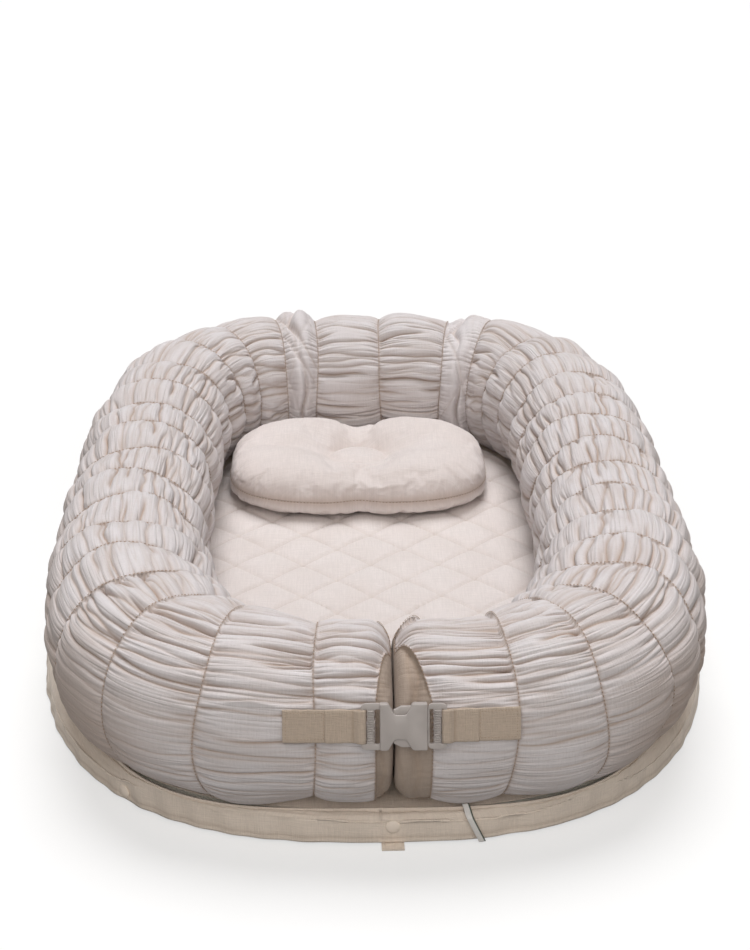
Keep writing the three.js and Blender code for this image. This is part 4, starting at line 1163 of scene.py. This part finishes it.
def stitches_along(points, outward, pitch):
    """Stitches at an even pitch along a line of points: each is a middle, a direction and an outward side."""
    steps = np.linalg.norm(np.diff(points, axis=0), axis=1)
    run = np.concatenate([[0], np.cumsum(steps)])
    places = np.arange(pitch / 2, run[-1], pitch)

    def read(values, at):
        return np.stack([np.interp(at, run, values[:, axis]) for axis in range(3)], axis=1)
    ahead = read(points, places + 0.3 * pitch) - read(points, places - 0.3 * pitch)
    return np.stack([read(points, places), unit(ahead), unit(read(outward, places))], axis=1)


def sew_stitches(name, lines, thread, body="root"):
    """Stitches as short thick threads, all of one shape; thread is its length and thickness."""
    one = bpy.data.meshes.new("stitch")
    with editing(one) as bm:
        bmesh.ops.create_uvsphere(bm, u_segments=5, v_segments=4, radius=0.5)
        bmesh.ops.triangulate(bm, faces=bm.faces)
    shape = points_of(one) * (thread[0], thread[1], thread[1])
    corners = np.array([tuple(face.vertices) for face in one.polygons])
    middles, ahead, outward = np.concatenate(lines).swapaxes(0, 1)
    side = unit(np.cross(ahead, outward))
    frames = np.stack([ahead, side, np.cross(side, ahead)], axis=1)
    points = middles[:, None] + np.einsum("va,nab->nvb", shape, frames)
    faces = corners[None] + (np.arange(len(middles)) * len(shape))[:, None, None]
    mesh = bpy.data.meshes.new(name)
    mesh.from_pydata(points.reshape(-1, 3), [], faces.reshape(-1, 3).tolist())
    mesh.shade_smooth()
    add_piece(name, mesh, "thread", [], body)


# Fastening

class Crest:
    """The fastening's frame: x to the right, y up the bolster, z out of it."""

    def __init__(self, bolster, fastening):
        tilt = math.radians(fastening.tilt)
        across = bolster.tube_half_width * math.cos(tilt)
        up = bolster.tube_half_height * math.sin(tilt)
        face = math.atan2(up / bolster.tube_half_height ** 2, across / bolster.tube_half_width ** 2)
        self.origin = Vector((0, -bolster.ring_half_length - across, bolster.tube_middle + up))
        self.up = Vector((0, math.sin(face), math.cos(face)))
        self.out = Vector((0, -math.cos(face), math.sin(face)))
        self.face = face
        self.sizes = bolster

    def height(self, x):
        """Height of the tube's crest, which falls away towards the corners."""
        sizes = self.sizes
        kept = rounded_side(np.minimum(np.abs(x) / sizes.ring_half_width, 1), sizes.ring_squareness)
        return -sizes.ring_half_length * (1 - kept) * math.cos(self.face)

    def place(self, x, y, z):
        """World points from points of the frame."""
        x, y, z = np.broadcast_arrays(x, y, z)
        return (np.array(self.origin) + np.outer(x, (1, 0, 0)) + np.outer(y, np.array(self.up))
                + np.outer(z, np.array(self.out)))


def strap_line(crest, far, double, bar, way):
    """Middle line of a strap in its frame: along the bolster, round the bar and back along itself."""
    bend_radius, bar_height = 2.6 * MM, 3.5 * MM
    near = bar - way * 1.4 * MM
    under = [(x, crest.height(x) + 0.95 * MM) for x in np.linspace(far, near, 30)]
    bend = [
        (bar + way * bend_radius * math.sin(step), bar_height - bend_radius * math.cos(step))
        for step in np.linspace(0.25, math.pi - 0.25, 9)]
    back = []
    for x in np.linspace(near - way * 0.6 * MM, double, 24):
        drop = smoothstep(0, 1, min(1, abs(x - near) / (7 * MM)))
        back.append((x, (1 - drop) * 6.1 * MM + drop * (crest.height(x) + 2.2 * MM)))
    return np.array(under + bend + back)


def strap_ribbon(crest, line, width, bar, seed):
    """A strap's cloth along its middle line, a little uneven at its edges, with painted shade behind the buckle."""
    steps = np.linalg.norm(np.diff(line, axis=0), axis=1)
    run = np.concatenate([[0], np.cumsum(steps)])
    mesh, across, along = cloth_grid(20, 150)
    at = along * run[-1]
    x = np.interp(at, run, line[:, 0])
    z = np.interp(at, run, line[:, 1])
    edge = lumps(np.random.default_rng(seed), at, np.zeros_like(at), 0.18 * MM, 8 * MM, 30 * MM)
    y = (across - 0.5) * (width + 2 * edge)
    rounded = 0.25 * MM * (1 - (2 * across - 1) ** 8)
    # Painted shade on the strap where it runs behind the buckle
    painted_shade_mask = np.exp(-((x - bar) / (7 * MM)) ** 4) * (z < crest.height(x) + 3.5 * MM)
    lay(mesh, crest.place(x, y, z + rounded), np.column_stack([across * width, at]), painted_shade_mask)
    with editing(mesh) as bm:
        bmesh.ops.recalc_face_normals(bm, faces=bm.faces)
    mesh.shade_smooth()
    return mesh


def rounded_copy(node, edge):
    """A copy of a CAD piece with its sharp edges rounded, as a mould leaves them."""
    bm = bmesh.new()
    bm.from_mesh(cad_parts[node].data)
    bmesh.ops.remove_doubles(bm, verts=bm.verts, dist=WELD)
    bmesh.ops.dissolve_limit(bm, angle_limit=math.radians(1), verts=bm.verts, edges=bm.edges)
    sharp = [e for e in bm.edges if len(e.link_faces) == 2 and e.calc_face_angle() > BUCKLE_CORNER]
    bmesh.ops.bevel(
        bm, geom=sharp, offset=edge, offset_type="OFFSET", affect="EDGES", segments=2, profile=0.5,
        material=-1, clamp_overlap=True)
    return bm


def finish_moulding(bm, name, node, body, material="buckle"):
    mesh = bpy.data.meshes.new(name)
    bmesh.ops.triangulate(bm, faces=bm.faces)
    bm.to_mesh(mesh)
    bm.free()
    points = points_of(mesh)
    set_weave(mesh, np.column_stack([points[:, 0], points[:, 1] + points[:, 2]]))
    mesh.shade_smooth()
    mesh.set_sharp_from_angle(angle=math.radians(40))
    return add_piece(name, mesh, material, [node], body)


def add_ribs(bm, crest, left, right, half_height, face, ribs, radius):
    """Fine ribs along X on a bar of the buckle."""
    for rib in range(ribs):
        y = -half_height + (rib + 0.5) * 2 * half_height / ribs
        middle = Vector(crest.place((left + right) / 2, y, face)[0])
        turned = Matrix(((1, 0, 0), tuple(crest.up), tuple(crest.out))).transposed().to_4x4()
        turned = turned @ Matrix.Rotation(math.pi / 2, 4, "Y")
        bmesh.ops.create_cone(
            bm, cap_ends=True, cap_tris=False, segments=8, radius1=radius, radius2=radius,
            depth=right - left, matrix=Matrix.Translation(middle) @ turned)


# Operators

class LOUNGER_OT_bolster(bpy.types.Operator):
    """Sew the gauze panels and the plain end caps of the bolster over its wadding"""
    bl_idname = "lounger.bolster"
    bl_label = "Bolster"

    def execute(self, context):
        tube = Tube(context.scene.lounger.bolster)
        first = 0
        lines = []
        for seed, panel in enumerate(tube.panels):
            lines += sew_panel(tube, panel, first, 100 + seed)
            first += len(panel.lengths)
        stuff_tube(tube)
        sew_stitches("seam_stitches", lines, SEAM_THREAD)
        return {"FINISHED"}


class LOUNGER_OT_base(bpy.types.Operator):
    """Make the foam board, the linen panels and the skirt of the base"""
    bl_idname = "lounger.base"
    bl_label = "Base"

    def execute(self, context):
        settings = context.scene.lounger
        base = settings.base
        tube = Tube(settings.bolster)
        ring = Ring(base.half_width, base.half_length, base.squareness)
        outline = ring.points - ring.outward * base.setback
        x, y = outline.T
        area = 0.5 * abs(np.sum(x * np.roll(y, -1) - y * np.roll(x, -1)))
        panels = (("base_underside", "base_bottom_panel", 0.0), ("base_deck", "base_top_panel", base.deck_bottom))
        for name, node, bottom in panels:
            mesh = linen_panel(outline, bottom, base.panel)
            piece = add_piece(name, mesh, "linen", [node])
        mesh = cut_pad(
            outline, 48, 64, lambda flat, rim: base.foam_top - rolled_edge(rim, 2 * MM), base.foam_bottom)
        add_piece("base_board", mesh, "foam", ["base_foam"])
        mesh, area, around = skirt_cloth(tube, base)
        piece = add_piece("base_skirt", mesh, "linen", ["skirt"])
        thicken(piece, base.skirt_cloth)
        return {"FINISHED"}


class LOUNGER_OT_mat(bpy.types.Operator):
    """Make the quilted mat"""
    bl_idname = "lounger.mat"
    bl_label = "Mat"

    def execute(self, context):
        settings = context.scene.lounger
        ring = Tube(settings.bolster).ring
        outline = ring.points - ring.outward * settings.mat.inset
        seat = settings.bolster.seat
        mesh = cut_pad(
            outline, 190, 330, lambda flat, rim: quilt_height(settings.mat, seat, flat, rim), seat,
            # Painted shade along the sunken quilting lines
            lambda flat: 0.3 * quilt_lines(settings.mat, flat, 1.2 * MM)[1])
        add_piece("mat_quilt", mesh, "mat", ["quilted_mat"])
        return {"FINISHED"}


class LOUNGER_OT_pillow(bpy.types.Operator):
    """Sew the pillow, let its cloth settle and split it at its seam"""
    bl_idname = "lounger.pillow"
    bl_label = "Pillow"

    def execute(self, context):
        pillow = context.scene.lounger.pillow
        whole, held = joined([pillow_half(pillow, True, 41), pillow_half(pillow, False, 42)])
        piece = bpy.data.objects.new("pillow", whole)
        context.collection.objects.link(piece)
        settled = settle(piece, held, pressure=4.0, growth=0.05, frames=20, most=pillow.most_swell)
        set_points(whole, settled)
        piece.modifiers.new("soften", "SUBSURF").levels = 1
        whole = bpy.data.meshes.new_from_object(piece.evaluated_get(context.evaluated_depsgraph_get()))
        bpy.data.objects.remove(piece)
        points = points_of(whole)
        points[:, 2] = np.maximum(points[:, 2], pillow.mat_top)
        set_points(whole, points)
        panels = (set(), set())
        for face in whole.polygons:
            panels[face.material_index].update(face.vertices)
        seam = points[sorted(panels[0] & panels[1])]
        outward = unit((seam - (pillow.middle_x, pillow.middle_y, 0)) * (1, 1, 0))
        order = np.argsort(np.arctan2(outward[:, 1], outward[:, 0]))
        line = (seam + outward * 0.5 * MM)[order]
        lines = [stitches_along(line, outward[order], STITCH_PITCH)]
        sew_stitches("pillow_stitches", lines, SEAM_THREAD, "pillow")
        for index, (name, nodes) in enumerate((
                ("pillow_upper", ["pillow_cover_top", "pillow_fill"]), ("pillow_lower", ["pillow_cover_bottom"]))):
            half = add_piece(name, one_panel(whole, index), "pillow", nodes, "pillow")
        return {"FINISHED"}


class LOUNGER_OT_buckle(bpy.types.Operator):
    """Mould the socket, the plug and its two prongs"""
    bl_idname = "lounger.buckle"
    bl_label = "Buckle"

    def execute(self, context):
        settings = context.scene.lounger
        crest = Crest(settings.bolster, settings.fastening)
        socket = rounded_copy("buckle_socket", 0.45 * MM)
        ribs = {"half_height": 12.6 * MM, "face": 5.3 * MM, "ribs": 14, "radius": 0.65 * MM}
        add_ribs(socket, crest, -11.0 * MM, -6.4 * MM, **ribs)
        finish_moulding(socket, "socket_moulding", "buckle_socket", "root")
        plug = rounded_copy("buckle_plug", 0.4 * MM)
        add_ribs(plug, crest, 39.3 * MM, 43.9 * MM, **ribs)
        finish_moulding(plug, "plug_moulding", "buckle_plug", "plug")
        for side in ("upper", "lower"):
            prong = rounded_copy("plug_prong_" + side, 0.35 * MM)
            finish_moulding(prong, "prong_moulding_" + side, "plug_prong_" + side, "prong_" + side)
        return {"FINISHED"}


class LOUNGER_OT_straps(bpy.types.Operator):
    """Thread the two linen straps round the buckle's bars and sew them on"""
    bl_idname = "lounger.straps"
    bl_label = "Straps"

    def execute(self, context):
        settings = context.scene.lounger
        sizes = settings.fastening
        crest = Crest(settings.bolster, sizes)
        lines = []
        for name, nodes, far, double, bar, way in (
                ("left_strap", ["strap_left"], sizes.left_far, sizes.left_double, sizes.left_bar, 1),
                ("right_strap", ["strap_right_loop", "strap_right_patch"],
                 sizes.right_far, sizes.right_double, sizes.right_bar, -1)):
            line = strap_line(crest, far, double, bar, way)
            mesh = strap_ribbon(crest, line, sizes.strap_width, bar, 61)
            body = "root" if way == 1 else None
            piece = add_piece(name, mesh, "strap", nodes, body)
            thicken(piece, sizes.strap_cloth, 0.0)
            if body is None:
                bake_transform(piece)
            half = sizes.strap_width / 2 - 2.5 * MM
            near_x, far_x = double - way * 1 * MM, far + way * 2.5 * MM
            corners = [(near_x, -half), (far_x, -half), (far_x, half), (near_x, half), (near_x, -half)]
            for (x0, y0), (x1, y1) in zip(corners, corners[1:]):
                x = np.linspace(x0, x1, 12)
                points = crest.place(x, np.linspace(y0, y1, 12), crest.height(x) + 1.7 * MM)
                lines.append(stitches_along(points, np.tile(np.array(crest.out), (12, 1)), 2.6 * MM))
        sew_stitches("strap_stitches", lines, (1.8 * MM, 0.5 * MM))
        return {"FINISHED"}


class LOUNGER_OT_studs(bpy.types.Operator):
    """Make the press studs' caps and the linen tabs behind them"""
    bl_idname = "lounger.studs"
    bl_label = "Studs"

    def execute(self, context):
        for side in ("front", "left"):
            bm = rounded_copy("stud_cap_" + side, 0.25 * MM)
            finish_moulding(bm, side + "_snap_cap", "stud_cap_" + side, "root", "stud")
            for part, body in (("stud_ring_", "root"), ("stud_", "tab_" + side)):
                bm = rounded_copy(part + side, 0.15 * MM)
                name = side + ("_snap_ring" if part == "stud_ring_" else "_snap_stud")
                finish_moulding(bm, name, part + side, body, "stud")
            bm = rounded_copy("stud_tab_" + side, 0.4 * MM)
            finish_moulding(bm, side + "_tab", "stud_tab_" + side, "tab_" + side, "linen")
        return {"FINISHED"}


class LOUNGER_OT_tape(bpy.types.Operator):
    """Hang the folded woven tape under the right foot of the bolster"""
    bl_idname = "lounger.tape"
    bl_label = "Tape"

    def execute(self, context):
        settings = context.scene.lounger
        base = settings.base
        low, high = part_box("woven_tape")
        mesh, across, along = cloth_grid(12, 48)
        width = 5.5 * MM
        x = low[0] + (high[0] - low[0] - width) * (1 - along) + across * width
        edge = base.half_length * rounded_side(x / base.half_width, base.squareness)
        stand_off = 4.4 * MM - 9 * MM * smoothstep(0.72, 1, along)
        y = -edge - stand_off - 0.3 * MM * np.sin(math.pi * across)
        z = low[2] + (high[2] - low[2] + 2 * MM) * along
        dark = smoothstep(0.78, 0.86, across)
        lay(mesh, np.column_stack([x, y, z]), np.column_stack([across * width, along * (high[2] - low[2])]), dark)
        mesh.shade_smooth()
        piece = add_piece("hanging_tape", mesh, "tape", ["woven_tape"])
        thicken(piece, 0.8 * MM, 0.0)
        return {"FINISHED"}


class LOUNGER_OT_stage(bpy.types.Operator):
    """Set up the floor, the soft lights, the world and the camera"""
    bl_idname = "lounger.stage"
    bl_label = "Stage"

    def execute(self, context):
        scene = context.scene
        stage = scene.lounger.stage
        scene.view_settings.view_transform = "Standard"
        scene.world = bpy.data.worlds.new("studio")
        scene.world.use_nodes = True
        tree = scene.world.node_tree
        tree.nodes.clear()
        path = add_node(tree, "LightPath")
        seen = add_node(tree, "Math", {0: path.outputs["Is Camera Ray"], 1: path.outputs["Is Transmission Ray"]},
                        operation="MAXIMUM")
        light = add_node(tree, "Background", {"Color": (1, 0.97, 0.94, 1), "Strength": 0.09})
        white = add_node(tree, "Background", {"Color": (1, 1, 1, 1), "Strength": 1.0})
        mix = add_node(tree, "MixShader", {0: seen, 1: light, 2: white})
        add_node(tree, "OutputWorld", {"Surface": mix})

        mesh = bpy.data.meshes.new("floor")
        with editing(mesh) as bm:
            # A hair under the lounger's underside, so that the two faces don't lie in one plane
            just_under = Matrix.Translation((0, 0, -0.2 * MM))
            bmesh.ops.create_grid(bm, x_segments=2, y_segments=2, size=8.0, matrix=just_under)
        floor = bpy.data.objects.new("floor", mesh)
        context.collection.objects.link(floor)
        material, tree, output = new_material("paper_sweep")
        # Matt grey paper: keeps the soft shadow, and is lifted to white where nothing shades it
        path = add_node(tree, "LightPath")
        paper = add_node(tree, "BsdfDiffuse", {"Color": rgba(stage.floor)})
        lift = add_node(tree, "Math", {0: path.outputs["Is Camera Ray"], 1: 0.58}, operation="MULTIPLY")
        glow = add_node(tree, "Emission", {"Color": (1, 1, 1, 1), "Strength": lift})
        both = add_node(tree, "AddShader", {0: paper, 1: glow})
        tree.links.new(both.outputs[0], output.inputs[0])
        mesh.materials.append(material)

        # A wide soft light overhead and a weaker one in front, so far away that they light the floor evenly
        for name, source, spread, strength, colour in (
                ("key", (0.0, 0.34, 1.0), 36, 2.5, (0.985, 0.985, 1.0)),
                ("fill", (0.0, -1.0, 0.9), 60, 1.35, (1.0, 0.96, 0.92))):
            data = bpy.data.lights.new(name, "SUN")
            data.angle = math.radians(spread)
            data.energy = strength
            data.color = colour
            lamp = bpy.data.objects.new(name, data)
            lamp.rotation_euler = (-Vector(source)).to_track_quat("-Z", "Y").to_euler()
            context.collection.objects.link(lamp)

        data = bpy.data.cameras.new("camera")
        data.lens = stage.lens
        data.shift_x = stage.shift_x
        data.shift_y = stage.shift_y
        data.clip_end = 50
        camera = bpy.data.objects.new("camera", data)
        aim = Vector((stage.aim_x, stage.aim_y, stage.aim_z))
        turn = math.radians(stage.azimuth)
        rise = math.radians(stage.elevation)
        away = Vector((math.sin(turn) * math.cos(rise), -math.cos(turn) * math.cos(rise), math.sin(rise)))
        camera.location = aim + away * stage.distance
        camera.rotation_euler = (-away).to_track_quat("-Z", "Y").to_euler()
        context.collection.objects.link(camera)
        scene.camera = camera
        return {"FINISHED"}


class VIEW3D_PT_lounger(bpy.types.Panel):
    """Build the lounger's pieces one by one"""
    bl_label = "Infant Lounger"
    bl_idname = "VIEW3D_PT_lounger"
    bl_space_type = "VIEW_3D"
    bl_region_type = "UI"
    bl_category = "Lounger"

    def draw(self, context):
        column = self.layout.column()
        for operator in OPERATORS:
            column.operator(operator.bl_idname)


SETTINGS = (
    BolsterSettings, BaseSettings, MatSettings, PillowSettings, FasteningSettings, ClothSettings,
    StageSettings, LoungerSettings)
OPERATORS = (
    LOUNGER_OT_stage, LOUNGER_OT_bolster, LOUNGER_OT_base, LOUNGER_OT_mat, LOUNGER_OT_pillow,
    LOUNGER_OT_buckle, LOUNGER_OT_straps, LOUNGER_OT_studs, LOUNGER_OT_tape)


def register():
    for item in (*SETTINGS, *OPERATORS, VIEW3D_PT_lounger):
        bpy.utils.register_class(item)
    bpy.types.Scene.lounger = bpy.props.PointerProperty(type=LoungerSettings)


def unregister():
    del bpy.types.Scene.lounger
    for item in reversed((*SETTINGS, *OPERATORS, VIEW3D_PT_lounger)):
        bpy.utils.unregister_class(item)


def main():
    register()
    make_materials(bpy.context.scene.lounger.cloth)
    bpy.ops.lounger.stage()
    bpy.ops.lounger.bolster()
    bpy.ops.lounger.base()
    bpy.ops.lounger.mat()
    bpy.ops.lounger.pillow()
    bpy.ops.lounger.buckle()
    bpy.ops.lounger.straps()
    bpy.ops.lounger.studs()
    bpy.ops.lounger.tape()


if __name__ == "__main__":
    main()
